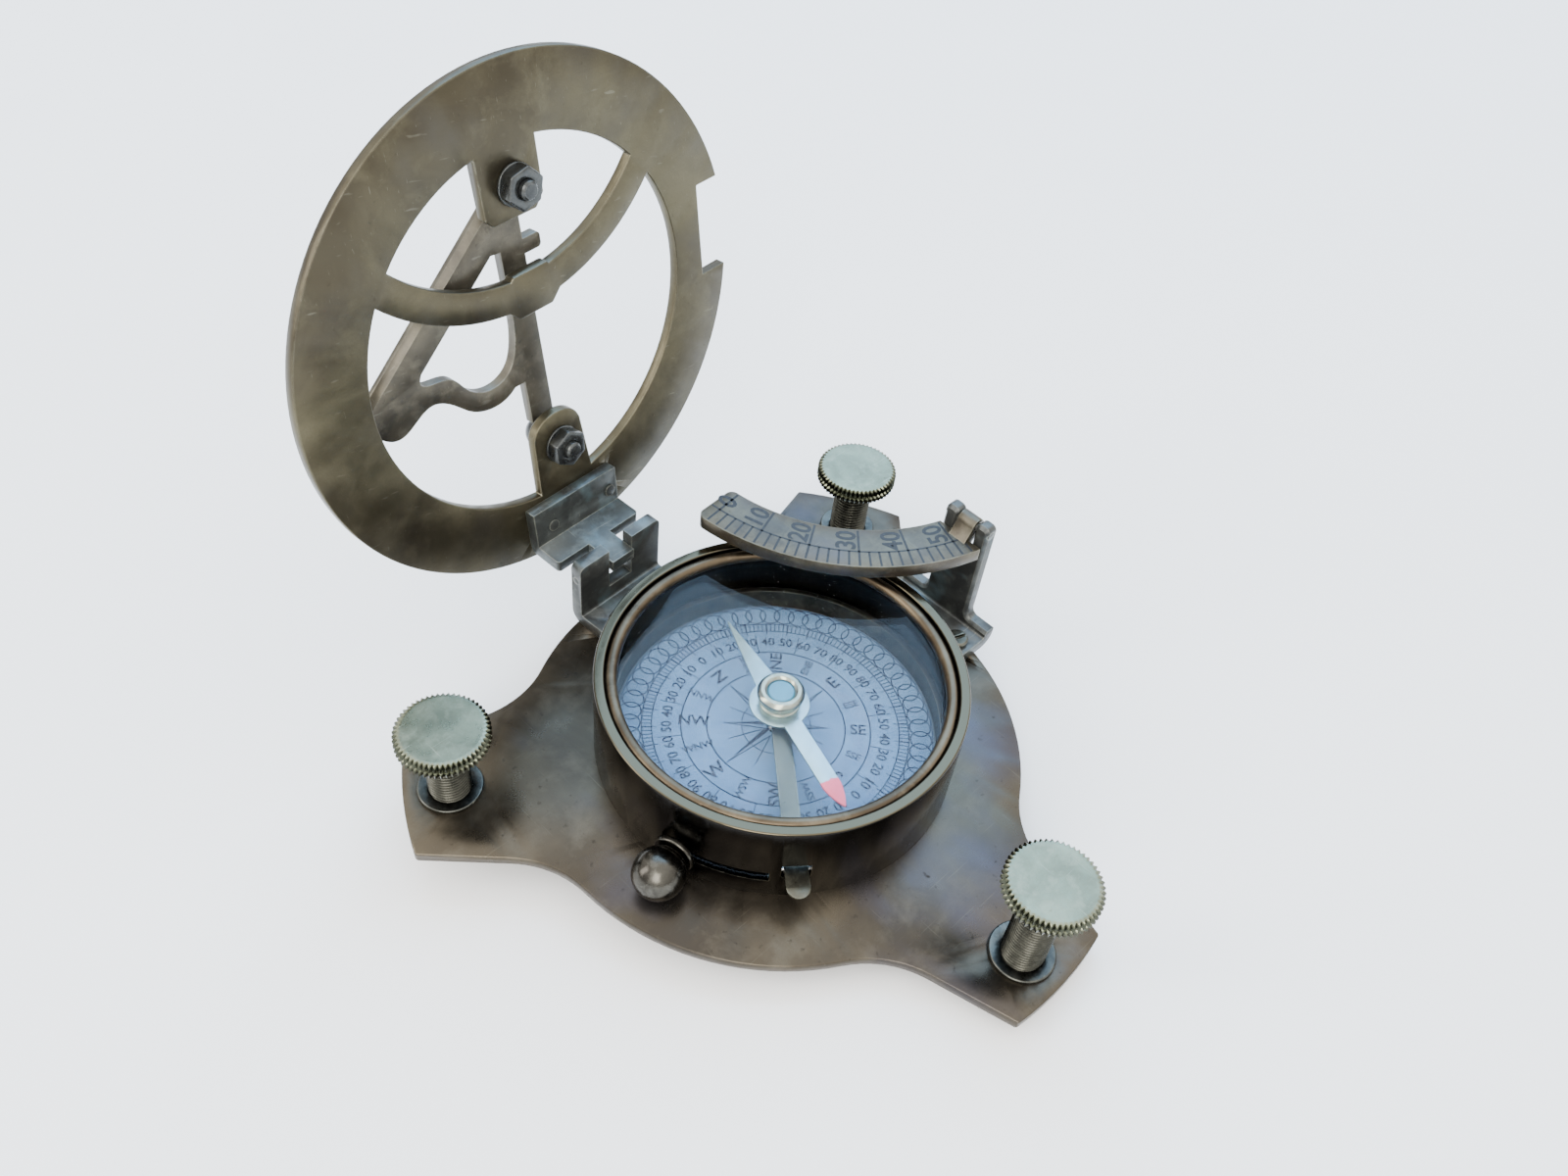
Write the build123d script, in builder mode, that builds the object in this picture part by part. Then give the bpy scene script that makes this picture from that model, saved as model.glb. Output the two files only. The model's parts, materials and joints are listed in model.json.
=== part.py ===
"""Sundial compass on a levelling base, built piece by piece in millimetres.

It is drawn with the compass axis on Z and the base plate's underside at Z = 0. The hour ring is hinged
on the +Y side and stands open; the latitude bracket is on the +X side and its arc lies folded flat over
the glass. When all pieces are drawn they move together, so that the middle of the whole instrument in
plan and the tip of its lowest foot give the origin.
"""

import os
from math import cos, radians, sin, sqrt

from build123d import *

# ---------------------------------------------------------------- driving dimensions

# Base plate and its three lobes
PLATE_T = 1.5
DISC_R = 36.2
LOBE_R = 52.4            # the lobes' outer ends are arcs about the compass axis
LOBE_HALF = 8.9          # half width at the outer end
LOBE_ROOT_HALF = 17.4    # half width of the same straight sides inside the disc
LOBE_ROOT_AT = 20.0
ROOT_FILLET = 15.0
LOBE_SKEW = 1.0          # the lobes sit this far round from their screws, in degrees
LOBE_ANGLES = (150, 270, 30)

# Levelling screws: each one is a rod with a pointed foot and a knurled head
SCREW_AT = 46.0
ROD_R = 3.0
ROD_L = 19.0
FOOT_L = 3.0
FOOT_TIP_R = 0.8
HEAD_R = 6.35
HEAD_T = 2.7
HEAD_TOPS = (14.6, 19.3, 15.0)
BUSH_R = 4.5
BUSH_RISE = 0.5
BUSH_SHANK_R = 3.8
BUSH_COLLAR_R = 5.2
BUSH_COLLAR_T = 1.6
RUN_GAP = 0.05           # radial running clearance of shafts in holes

# Compass case, a turned cup, and what it holds
CASE_R = 26.0
CASE_WALL = 1.5
CASE_TOP = 15.9
CASE_FLOOR_T = 1.0
GLASS_R = 24.3
GLASS_BOTTOM = 13.3
GLASS_T = 1.1
BEZEL_INNER_R = 22.7
SLOT_LOW, SLOT_HIGH = 4.9, 6.8
SLOT_FROM, SLOT_TO = -170.0, -137.0
CASE_SCREW_AT = 15.0

# Card tray, card and the ball knob that turns them through the slot
TRAY_R = 24.15
TRAY_RIM_T = 0.9
TRAY_FLOOR = 2.75
TRAY_FLOOR_T = 0.6
TRAY_TOP = 6.75
CARD_R = 23.0
CARD_T = 0.2
KNOB_Z = 6.0
KNOB_ANGLE = -165.0
STEM_R = 0.8
KNOB_R = 3.6
KNOB_AT = 30.3

# Needle on its pivot
NEEDLE_Z = 8.7
NEEDLE_T = 0.3
NEEDLE_ANGLE = 73.0      # the sharp end's bearing from +X
NEEDLE_SHARP_L = 16.4
NEEDLE_TAIL_L = 18.9
HUB_R = 4.3
CAP_R = 3.35
CAP_TOP = 12.0

# Needle lifter, a strip with its tab outside the wall
LIFTER_ANGLE = -129.5
LIFTER_Z = 7.3
LIFTER_T = 0.35
LIFTER_W = 3.2
LIFTER_OUT = 30.0
FULCRUM_AT = 25.25       # in the thickness of the case's wall
FULCRUM_R = 0.25
FULCRUM_L = 5.8
KNUCKLE_R = 0.55

# Hour ring hinge: built with its pin along X, then set on the plate a little askew
HINGE_X, HINGE_Y, HINGE_Z = 0.2, 35.9, 10.5
HINGE_YAW = 3.4
HINGE_PIN_R = 0.6
PRONG_TOP = 13.5
OPEN_ANGLE = 97.4        # from lying flat over the case to standing open
RING_UP = 35.6           # from the pin up to the ring's centre
RING_OFFSET = 9.9        # from the pin to the ring's near face
RING_ROLL = 2.0          # the ring is riveted on askew the other way, which brings it square when closed
BRACKET_T = 2.0
HINGE_W = 16.2
HINGE_SLOT_W = 4.6
TONGUE_W = 4.3
LEAF_T = 1.9
LEAF_W = 16.3
LEAF_TOP = -27.6         # measured up the leaf from the level of the ring's centre
RIVET_LEVEL = -31.2
SHOULDER_Y = 39.6

# Hour ring, its lugs, crosspiece and side notch (x across, y up from the ring's centre)
RING_T = 1.6
RING_R = 37.2
RING_HOLE_R = 26.9
NOTCH_LOW, NOTCH_HIGH = -5.8, 8.7
NOTCH_R = 32.0
BOW_R = 28.5
BOW_CENTRE = 34.8
BOW_W = 4.4
NOON_X = 0.5             # the noon line, which carries the posts and the gnomon
POST_LEVELS = (-19.6, 21.3)
STUD_R = 1.3
BALL_R = 2.5
PIVOT_BACK = 2.6         # from the ring's far face to the gnomon's pivots
PIVOT_R = 0.6
NUT_AF = 5.2
NUT_T = 1.9
WASHER_R = 2.9
WASHER_T = 0.4
GNOMON_T = 1.5

# Latitude bracket and arc: the pin runs along Y, close to the top of the ears
LAT_X, LAT_Y, LAT_Z = 37.7, -0.7, 22.0
LAT_TOP = 23.4
LAT_W = 8.2
LAT_FOOT_W = 17.0
LAT_STEP_Z = 4.7
FORK_GAP = 3.4
FORK_BOTTOM = 17.4
LAT_PIN_R = 0.65
ARC_TOP = 20.1
ARC_T = 2.2
ARC_CENTRE = (44.6, 30.5)
ARC_INNER_R, ARC_OUTER_R = 28.4, 36.0
ARC_FREE_ANGLE = 4.6     # from the -X direction of the arc's centre
ARC_END_X = 36.15
TANG_W = 3.0
EYE_R = 1.35

# Small screws that hold the brackets and the case
SCREW_HEAD_R = 1.7
SCREW_HEAD_T = 1.1
SCREW_SHANK_R = 0.9

# ---------------------------------------------------------------- derived frames

leaf_up = Vector(0, -cos(radians(OPEN_ANGLE)), sin(radians(OPEN_ANGLE)))
ring_near = Vector(0, -sin(radians(OPEN_ANGLE)), -cos(radians(OPEN_ANGLE)))
hinge_plane = Plane(origin=(0, HINGE_Y, HINGE_Z), x_dir=(0, 1, 0), z_dir=(1, 0, 0))
leaf_origin = hinge_plane.origin + leaf_up * RING_UP - ring_near * RING_OFFSET
leaf_plane = Plane(origin=leaf_origin, x_dir=(1, 0, 0), z_dir=ring_near)
# The ring's own plane is the leaf's, turned about the point midway between the rivets
ring_origin = leaf_plane.from_local_coords(
    (RIVET_LEVEL * sin(radians(RING_ROLL)), RIVET_LEVEL - RIVET_LEVEL * cos(radians(RING_ROLL)), 0)
)
ring_x = Vector(cos(radians(RING_ROLL)), 0, 0) + leaf_up * sin(radians(RING_ROLL))
ring_plane = Plane(origin=ring_origin, x_dir=ring_x, z_dir=ring_near)
noon_dir = ring_plane.y_dir
pivot_plane = Plane(
    origin=ring_plane.from_local_coords((NOON_X, 0, -RING_T - PIVOT_BACK)), x_dir=ring_x, z_dir=ring_near
)
hinge_place = Location((HINGE_X, HINGE_Y, 0), (0, 0, HINGE_YAW)) * Location((0, -HINGE_Y, 0))
lat_place = Location((0, LAT_Y, 0))
lat_pin_plane = Plane(origin=(LAT_X, 0, LAT_Z), x_dir=(1, 0, 0), z_dir=(0, 1, 0))
knob_dir = Vector(cos(radians(KNOB_ANGLE)), sin(radians(KNOB_ANGLE)), 0)
lifter_dir = Vector(cos(radians(LIFTER_ANGLE)), sin(radians(LIFTER_ANGLE)), 0)
lifter_side = Vector(-lifter_dir.Y, lifter_dir.X, 0)
fulcrum_plane = Plane(
    origin=lifter_dir * FULCRUM_AT + Vector(0, 0, LIFTER_Z - KNUCKLE_R + 0.2), x_dir=lifter_dir, z_dir=lifter_side
)

hinge_screw_spots = ((-4.8, 30.0), (4.8, 30.0))
lat_screw_spots = ((32.9, -6.0), (32.9, 6.0))
rivet_spots = ((-4.8, RIVET_LEVEL), (6.6, RIVET_LEVEL))
post_spots = [(NOON_X, level) for level in POST_LEVELS]

pieces = {}


def save(piece, name):
    pieces[name] = piece


def lobe_point(angle, along, across):
    a = radians(angle)
    return (along * cos(a) - across * sin(a), along * sin(a) + across * cos(a))


# ---------------------------------------------------------------- base plate

with BuildPart() as base_plate:
    with BuildSketch() as outline:
        Circle(DISC_R)
        for screw_angle in LOBE_ANGLES:
            angle = screw_angle + LOBE_SKEW
            end_at = sqrt(LOBE_R**2 - LOBE_HALF**2)
            with BuildLine():
                Polyline(
                    lobe_point(angle, end_at, LOBE_HALF),
                    lobe_point(angle, LOBE_ROOT_AT, LOBE_ROOT_HALF),
                    lobe_point(angle, LOBE_ROOT_AT, -LOBE_ROOT_HALF),
                    lobe_point(angle, end_at, -LOBE_HALF),
                )
                ThreePointArc(
                    lobe_point(angle, end_at, -LOBE_HALF),
                    lobe_point(angle, LOBE_R, 0),
                    lobe_point(angle, end_at, LOBE_HALF),
                )
            make_face()
        root_corners = [v for v in outline.vertices() if abs(Vector(v.X, v.Y).length - DISC_R) < 0.1]
        fillet(root_corners, ROOT_FILLET)
    extrude(amount=PLATE_T)
    with BuildSketch():
        with PolarLocations(SCREW_AT, 3, start_angle=30):
            Circle(BUSH_SHANK_R)
        with Locations(*[(hinge_place * Pos(x, y)).position for x, y in hinge_screw_spots]):
            Circle(SCREW_SHANK_R)
        with Locations(*[(x, y + LAT_Y) for x, y in lat_screw_spots]):
            Circle(SCREW_SHANK_R)
        with PolarLocations(CASE_SCREW_AT, 3, start_angle=90):
            Circle(SCREW_SHANK_R)
    extrude(amount=PLATE_T, mode=Mode.SUBTRACT)
save(base_plate.part, "base_plate")

# ---------------------------------------------------------------- screw bushes

with BuildPart() as screw_bushes:
    for angle in LOBE_ANGLES:
        x, y = lobe_point(angle, SCREW_AT, 0)
        with BuildSketch(Plane(origin=(x, y, -BUSH_COLLAR_T))):
            Circle(BUSH_COLLAR_R)
        extrude(amount=BUSH_COLLAR_T)
        with BuildSketch(Plane(origin=(x, y, 0))):
            Circle(BUSH_SHANK_R)
        extrude(amount=PLATE_T)
        with BuildSketch(Plane(origin=(x, y, PLATE_T))):
            Circle(BUSH_R)
        extrude(amount=BUSH_RISE)
        with BuildSketch(Plane(origin=(x, y, -BUSH_COLLAR_T))):
            Circle(ROD_R + RUN_GAP)
        extrude(amount=BUSH_COLLAR_T + PLATE_T + BUSH_RISE, mode=Mode.SUBTRACT)
    rim_edges = screw_bushes.edges().filter_by(GeomType.CIRCLE).filter_by(
        lambda e: abs(e.radius - BUSH_R) < 0.01 and e.center().Z > PLATE_T + 0.1
    )
    fillet(rim_edges, 0.25)
save(screw_bushes.part, "screw_bushes")

# ---------------------------------------------------------------- levelling screws

for number, (angle, head_top) in enumerate(zip(LOBE_ANGLES, HEAD_TOPS), start=1):
    x, y = lobe_point(angle, SCREW_AT, 0)
    head_bottom = head_top - HEAD_T
    with BuildPart() as levelling_rod:
        with BuildSketch(Plane(origin=(x, y, head_bottom), x_dir=(1, 0, 0), z_dir=(0, -1, 0))):
            with BuildLine():
                Polyline(
                    (0, HEAD_T - 0.6),
                    (ROD_R - 1.2, HEAD_T - 0.6),
                    (ROD_R - 1.2, -RUN_GAP),
                    (ROD_R, -RUN_GAP),
                    (ROD_R, FOOT_L - ROD_L),
                    (FOOT_TIP_R, -ROD_L),
                    (0, -ROD_L),
                    close=True,
                )
            make_face()
        revolve(axis=Axis((x, y, 0), (0, 0, 1)))
    save(levelling_rod.part, f"levelling_rod_{number}")

    with BuildPart() as levelling_head:
        with BuildSketch(Plane(origin=(x, y, head_bottom), x_dir=(1, 0, 0), z_dir=(0, -1, 0))):
            with BuildLine():
                Polyline(
                    (ROD_R - 1.2 + 0.03, 0),
                    (HEAD_R - 0.45, 0),
                    (HEAD_R, 0.35),
                    (HEAD_R, HEAD_T / 2 - 0.2),
                    (HEAD_R - 0.3, HEAD_T / 2),
                    (HEAD_R, HEAD_T / 2 + 0.2),
                    (HEAD_R, HEAD_T - 0.35),
                    (HEAD_R - 0.45, HEAD_T),
                    (0, HEAD_T),
                    (0, HEAD_T - 0.6 + 0.03),
                    (ROD_R - 1.2 + 0.03, HEAD_T - 0.6 + 0.03),
                    close=True,
                )
            make_face()
        revolve(axis=Axis((x, y, 0), (0, 0, 1)))
    save(levelling_head.part, f"levelling_head_{number}")

# ---------------------------------------------------------------- compass case, bezel and glass

with BuildPart() as compass_case:
    with BuildSketch(Plane.XY.offset(PLATE_T)):
        Circle(CASE_R)
    extrude(amount=CASE_TOP - PLATE_T)
    with BuildSketch(Plane.XY.offset(PLATE_T + CASE_FLOOR_T)):
        Circle(CASE_R - CASE_WALL)
    extrude(amount=CASE_TOP, mode=Mode.SUBTRACT)
    # Ledge that carries the glass
    with BuildSketch(Plane.XY.offset(GLASS_BOTTOM - 1.2)):
        Circle(CASE_R - CASE_WALL)
        Circle(CASE_R - CASE_WALL - 0.9, mode=Mode.SUBTRACT)
    extrude(amount=1.2)
    # Slot for the card knob, cut through the wall only
    slot_span = SLOT_TO - SLOT_FROM
    with BuildSketch(Plane.XY.offset(SLOT_LOW)):
        with BuildLine():
            reach = CASE_R + 6
            a, m, b = (radians(v) for v in (SLOT_FROM, SLOT_FROM + slot_span / 2, SLOT_TO))
            inner = CASE_R - CASE_WALL - 0.2
            Line((inner * cos(a), inner * sin(a)), (reach * cos(a), reach * sin(a)))
            ThreePointArc(
                (reach * cos(a), reach * sin(a)), (reach * cos(m), reach * sin(m)), (reach * cos(b), reach * sin(b))
            )
            Line((reach * cos(b), reach * sin(b)), (inner * cos(b), inner * sin(b)))
            ThreePointArc(
                (inner * cos(b), inner * sin(b)), (inner * cos(m), inner * sin(m)), (inner * cos(a), inner * sin(a))
            )
        make_face()
    extrude(amount=SLOT_HIGH - SLOT_LOW, mode=Mode.SUBTRACT)
    # Window for the lifter's tab
    window_at = lifter_dir * CASE_R + Vector(0, 0, LIFTER_Z)
    with BuildSketch(Plane(origin=window_at, x_dir=(0, 0, 1), z_dir=lifter_dir)):
        RectangleRounded(2.8, LIFTER_W + 0.7, 0.4)
    extrude(amount=2, both=True, mode=Mode.SUBTRACT)
    with BuildSketch(fulcrum_plane):
        Circle(FULCRUM_R + 0.01)
    extrude(amount=FULCRUM_L / 2, both=True, mode=Mode.SUBTRACT)
    with BuildSketch(Plane.XY.offset(PLATE_T)):
        with PolarLocations(CASE_SCREW_AT, 3, start_angle=90):
            Circle(SCREW_SHANK_R)
    extrude(amount=CASE_FLOOR_T, mode=Mode.SUBTRACT)
    outer_rims = compass_case.edges().filter_by(GeomType.CIRCLE).filter_by(
        lambda e: e.center().Z > CASE_TOP - 0.01
    )
    fillet(outer_rims, 0.3)
save(compass_case.part, "compass_case")

with BuildPart() as bezel_ring:
    glass_top = GLASS_BOTTOM + GLASS_T
    outer = CASE_R - CASE_WALL - 0.05
    crown = CASE_TOP - 0.25
    with BuildSketch(Plane.XZ):
        with BuildLine():
            Line((BEZEL_INNER_R, glass_top), (outer, glass_top))
            Line((outer, glass_top), (outer, crown - 0.5))
            ThreePointArc(
                (outer, crown - 0.5), ((BEZEL_INNER_R + outer) / 2 + 0.2, crown), (BEZEL_INNER_R, glass_top + 0.35)
            )
            Line((BEZEL_INNER_R, glass_top + 0.35), (BEZEL_INNER_R, glass_top))
        make_face()
    revolve(axis=Axis.Z)
save(bezel_ring.part, "bezel_ring")

with BuildPart() as glass:
    with BuildSketch(Plane.XY.offset(GLASS_BOTTOM)):
        Circle(GLASS_R)
    extrude(amount=GLASS_T)
save(glass.part, "glass")

with BuildPart() as case_screws:
    with BuildSketch(Plane.XY.offset(0)):
        with PolarLocations(CASE_SCREW_AT, 3, start_angle=90):
            Circle(SCREW_SHANK_R)
    extrude(amount=PLATE_T + CASE_FLOOR_T)
    with BuildSketch(Plane.XY.offset(-SCREW_HEAD_T)):
        with PolarLocations(CASE_SCREW_AT, 3, start_angle=90):
            Circle(SCREW_HEAD_R)
    extrude(amount=SCREW_HEAD_T)
    head_rims = case_screws.edges().filter_by(GeomType.CIRCLE).group_by(Axis.Z)[0]
    fillet(head_rims, 0.4)
    with BuildSketch(Plane.XY.offset(-SCREW_HEAD_T)):
        with PolarLocations(CASE_SCREW_AT, 3, start_angle=90):
            Rectangle(2 * SCREW_HEAD_R + 1, 0.5)
    extrude(amount=0.5, mode=Mode.SUBTRACT)
save(case_screws.part, "case_screws")

# ---------------------------------------------------------------- card tray, card and ball knob

with BuildPart() as card_tray:
    with BuildSketch(Plane.XY.offset(TRAY_FLOOR)):
        Circle(TRAY_R)
    extrude(amount=TRAY_TOP - TRAY_FLOOR)
    with BuildSketch(Plane.XY.offset(TRAY_FLOOR + TRAY_FLOOR_T)):
        Circle(TRAY_R - TRAY_RIM_T)
    extrude(amount=TRAY_TOP, mode=Mode.SUBTRACT)
    with BuildSketch(Plane.XY.offset(TRAY_FLOOR)):
        Circle(1.5)
    extrude(amount=TRAY_FLOOR_T, mode=Mode.SUBTRACT)
    # Threaded hole for the knob's stem
    with BuildSketch(Plane(origin=knob_dir * (TRAY_R - 3) + Vector(0, 0, KNOB_Z - 0.2), z_dir=knob_dir)):
        Circle(0.5)
    extrude(amount=4, mode=Mode.SUBTRACT)
save(card_tray.part, "card_tray")

with BuildPart() as compass_card:
    with BuildSketch(Plane.XY.offset(TRAY_FLOOR + TRAY_FLOOR_T)):
        Circle(CARD_R)
        Circle(1.4, mode=Mode.SUBTRACT)
    extrude(amount=CARD_T)
save(compass_card.part, "compass_card")

knob_level = Vector(0, 0, KNOB_Z - 0.2)
knob_stem_plane = Plane(origin=knob_level, x_dir=(0, 0, 1), z_dir=knob_dir)
with BuildPart() as knob_stem:
    with BuildSketch(knob_stem_plane.offset(TRAY_R - TRAY_RIM_T)):
        Circle(0.49)
    extrude(amount=TRAY_RIM_T + 0.02)
    with BuildSketch(knob_stem_plane.offset(TRAY_R + 0.02)):
        Circle(STEM_R)
    extrude(amount=KNOB_AT - TRAY_R - 1.5)
    with BuildSketch(knob_stem_plane.offset(CASE_R + 0.25)):
        Circle(3.0)
    extrude(amount=0.9)
    fillet(knob_stem.edges().filter_by(lambda e: e.length > 15), 0.3)
save(knob_stem.part, "knob_stem")

with BuildPart() as ball_knob:
    # Ball turned with a short neck, bored for the stem
    with BuildSketch(Plane(origin=knob_level, x_dir=knob_dir, z_dir=knob_dir.cross(Vector(0, 0, 1)))):
        with BuildLine():
            start = CASE_R + 1.2
            neck = 1.9
            ball_from = KNOB_AT - sqrt(KNOB_R**2 - (neck + 0.5) ** 2)
            Line((start, STEM_R + 0.02), (start, neck))
            Line((start, neck), (start + 0.3, neck + 0.5))
            Line((start + 0.3, neck + 0.5), (ball_from, neck + 0.5))
            ThreePointArc((ball_from, neck + 0.5), (KNOB_AT, KNOB_R), (KNOB_AT + KNOB_R, 0))
            Line((KNOB_AT + KNOB_R, 0), (KNOB_AT - 1.4, 0))
            Line((KNOB_AT - 1.4, 0), (KNOB_AT - 1.4, STEM_R + 0.02))
            Line((KNOB_AT - 1.4, STEM_R + 0.02), (start, STEM_R + 0.02))
        make_face()
    revolve(axis=Axis(knob_level, knob_dir))
save(ball_knob.part, "ball_knob")

# ---------------------------------------------------------------- needle and its pivot

with BuildPart() as needle_pivot:
    with BuildSketch(Plane.XZ):
        with BuildLine():
            floor_top = PLATE_T + CASE_FLOOR_T
            Polyline(
                (0, floor_top),
                (1.1, floor_top),
                (1.1, floor_top + 1.1),
                (0.45, floor_top + 1.7),
                (0.45, NEEDLE_Z),
                (0.08, NEEDLE_Z + 1.7),
                (0, NEEDLE_Z + 1.7),
                close=True,
            )
        make_face()
    revolve(axis=Axis.Z)
save(needle_pivot.part, "needle_pivot")

with BuildPart() as needle_blade:
    with BuildSketch(Plane.XY.offset(NEEDLE_Z).rotated((0, 0, NEEDLE_ANGLE))):
        Circle(HUB_R)
        with BuildLine():
            Polyline((0, 2.2), (NEEDLE_SHARP_L, 0.1), (NEEDLE_SHARP_L, -0.1), (0, -2.2), close=True)
        make_face()
        with BuildLine():
            tail_half = 1.35
            tip_at = NEEDLE_TAIL_L - 3.6
            Line((0, tail_half), (-tip_at, tail_half))
            Spline((-tip_at, tail_half), (-tip_at - 2.0, 0.85), (-NEEDLE_TAIL_L, 0.12))
            Line((-NEEDLE_TAIL_L, 0.12), (-NEEDLE_TAIL_L, -0.12))
            Spline((-NEEDLE_TAIL_L, -0.12), (-tip_at - 2.0, -0.85), (-tip_at, -tail_half))
            Line((-tip_at, -tail_half), (0, -tail_half))
            Line((0, -tail_half), (0, tail_half))
        make_face()
        Circle(1.4, mode=Mode.SUBTRACT)
    extrude(amount=NEEDLE_T)
save(needle_blade.part, "needle_blade")

with BuildPart() as needle_cap:
    with BuildSketch(Plane.XZ):
        with BuildLine():
            base = NEEDLE_Z + NEEDLE_T
            Polyline(
                (1.0, NEEDLE_Z - 0.5),
                (1.38, NEEDLE_Z - 0.5),
                (1.38, base),
                (2.95, base),
                (2.95, base + 0.5),
                (2.6, base + 0.65),
                (2.6, base + 0.95),
                (3.05, base + 1.1),
                (3.05, base + 1.5),
                (2.8, base + 1.65),
                (CAP_R, base + 1.9),
                (CAP_R, CAP_TOP - 0.5),
                (CAP_R - 0.5, CAP_TOP),
                (2.35, CAP_TOP),
                (1.95, CAP_TOP - 0.35),
                (1.95, base + 1.5),
                (1.0, base + 1.5),
                close=True,
            )
        make_face()
    revolve(axis=Axis.Z)
save(needle_cap.part, "needle_cap")

with BuildPart() as needle_jewel:
    jewel_low = NEEDLE_Z + NEEDLE_T + 1.55
    with BuildSketch(Plane.XY.offset(jewel_low)):
        Circle(1.92)
    extrude(amount=CAP_TOP - 0.4 - jewel_low)
    fillet(needle_jewel.edges().filter_by(GeomType.CIRCLE).sort_by(Axis.Z)[-1], 0.3)
save(needle_jewel.part, "needle_jewel")

# ---------------------------------------------------------------- needle lifter

lifter_plane = Plane(origin=(0, 0, LIFTER_Z), x_dir=lifter_dir, z_dir=(0, 0, 1))
with BuildPart() as needle_lifter:
    neck_at = FULCRUM_AT - 1.5
    with BuildSketch(lifter_plane):
        Circle(2.4)
        with Locations((neck_at / 2 + 0.5, 0)):
            Rectangle(neck_at + 1, 2.6)
        with Locations(((neck_at + LIFTER_OUT - LIFTER_W / 2) / 2, 0)):
            Rectangle(LIFTER_OUT - LIFTER_W / 2 - neck_at, LIFTER_W)
        with Locations((LIFTER_OUT - LIFTER_W / 2, 0)):
            Circle(LIFTER_W / 2)
        Circle(1.65, mode=Mode.SUBTRACT)
    extrude(amount=LIFTER_T)
    # Knuckle curled under the strip, where the fulcrum pin passes
    with BuildSketch(fulcrum_plane):
        Circle(KNUCKLE_R)
    extrude(amount=LIFTER_W / 2, both=True)
    with BuildSketch(fulcrum_plane):
        Circle(FULCRUM_R + RUN_GAP)
    extrude(amount=LIFTER_W, both=True, mode=Mode.SUBTRACT)
save(needle_lifter.part, "needle_lifter")

with BuildPart() as fulcrum_pin:
    with BuildSketch(fulcrum_plane):
        Circle(FULCRUM_R)
    extrude(amount=FULCRUM_L / 2, both=True)
save(fulcrum_pin.part, "fulcrum_pin")

# ---------------------------------------------------------------- hinge bracket, pin and leaf

with BuildPart() as hinge_bracket:
    back = HINGE_Y + BRACKET_T / 2
    front = HINGE_Y - BRACKET_T / 2
    foot_front = 26.9
    with BuildSketch(Plane.YZ) as hinge_profile:
        with BuildLine():
            Polyline(
                (foot_front, PLATE_T),
                (back, PLATE_T),
                (back, PRONG_TOP),
                (front, PRONG_TOP),
                (front, PLATE_T + BRACKET_T),
                (foot_front, PLATE_T + BRACKET_T),
                close=True,
            )
        make_face()
        fillet(hinge_profile.vertices().sort_by_distance((back, PLATE_T))[0], BRACKET_T + 0.3)
        fillet(hinge_profile.vertices().sort_by_distance((front, PLATE_T + BRACKET_T))[0], 0.5)
    extrude(amount=HINGE_W / 2, both=True)
    with BuildSketch(Plane.XZ.offset(-front + 1)):
        with Locations((0, 5.8 + 5)):
            Rectangle(HINGE_SLOT_W, 10)
    extrude(amount=-BRACKET_T - 2, mode=Mode.SUBTRACT)
    prong_corners = hinge_bracket.edges().filter_by(Axis.Y).filter_by(
        lambda e: e.center().Z > PRONG_TOP - 0.01 and abs(e.center().X) > HINGE_W / 2 - 0.01
    )
    fillet(prong_corners, 1.0)
    with BuildSketch(hinge_plane):
        Circle(HINGE_PIN_R + 0.01)
    extrude(amount=HINGE_W, both=True, mode=Mode.SUBTRACT)
    with BuildSketch(Plane.XY.offset(PLATE_T)):
        with Locations(*hinge_screw_spots):
            Circle(SCREW_SHANK_R)
    extrude(amount=BRACKET_T, mode=Mode.SUBTRACT)
save(hinge_place * hinge_bracket.part, "hinge_bracket")

with BuildPart() as hinge_pin:
    with BuildSketch(hinge_plane):
        Circle(HINGE_PIN_R)
    extrude(amount=HINGE_W / 2, both=True)
save(hinge_place * hinge_pin.part, "hinge_pin")


def on_ring_side(up, near):
    """A point of the YZ plane, measured up the leaf and out from the ring's near face."""
    point = leaf_origin + leaf_up * up + ring_near * near
    return (point.Y, point.Z)


def up_at_height(z, near):
    """How far up the leaf a line at the given distance from the ring's near face reaches height z."""
    return (z - leaf_origin.Z - ring_near.Z * near) / leaf_up.Z


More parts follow.
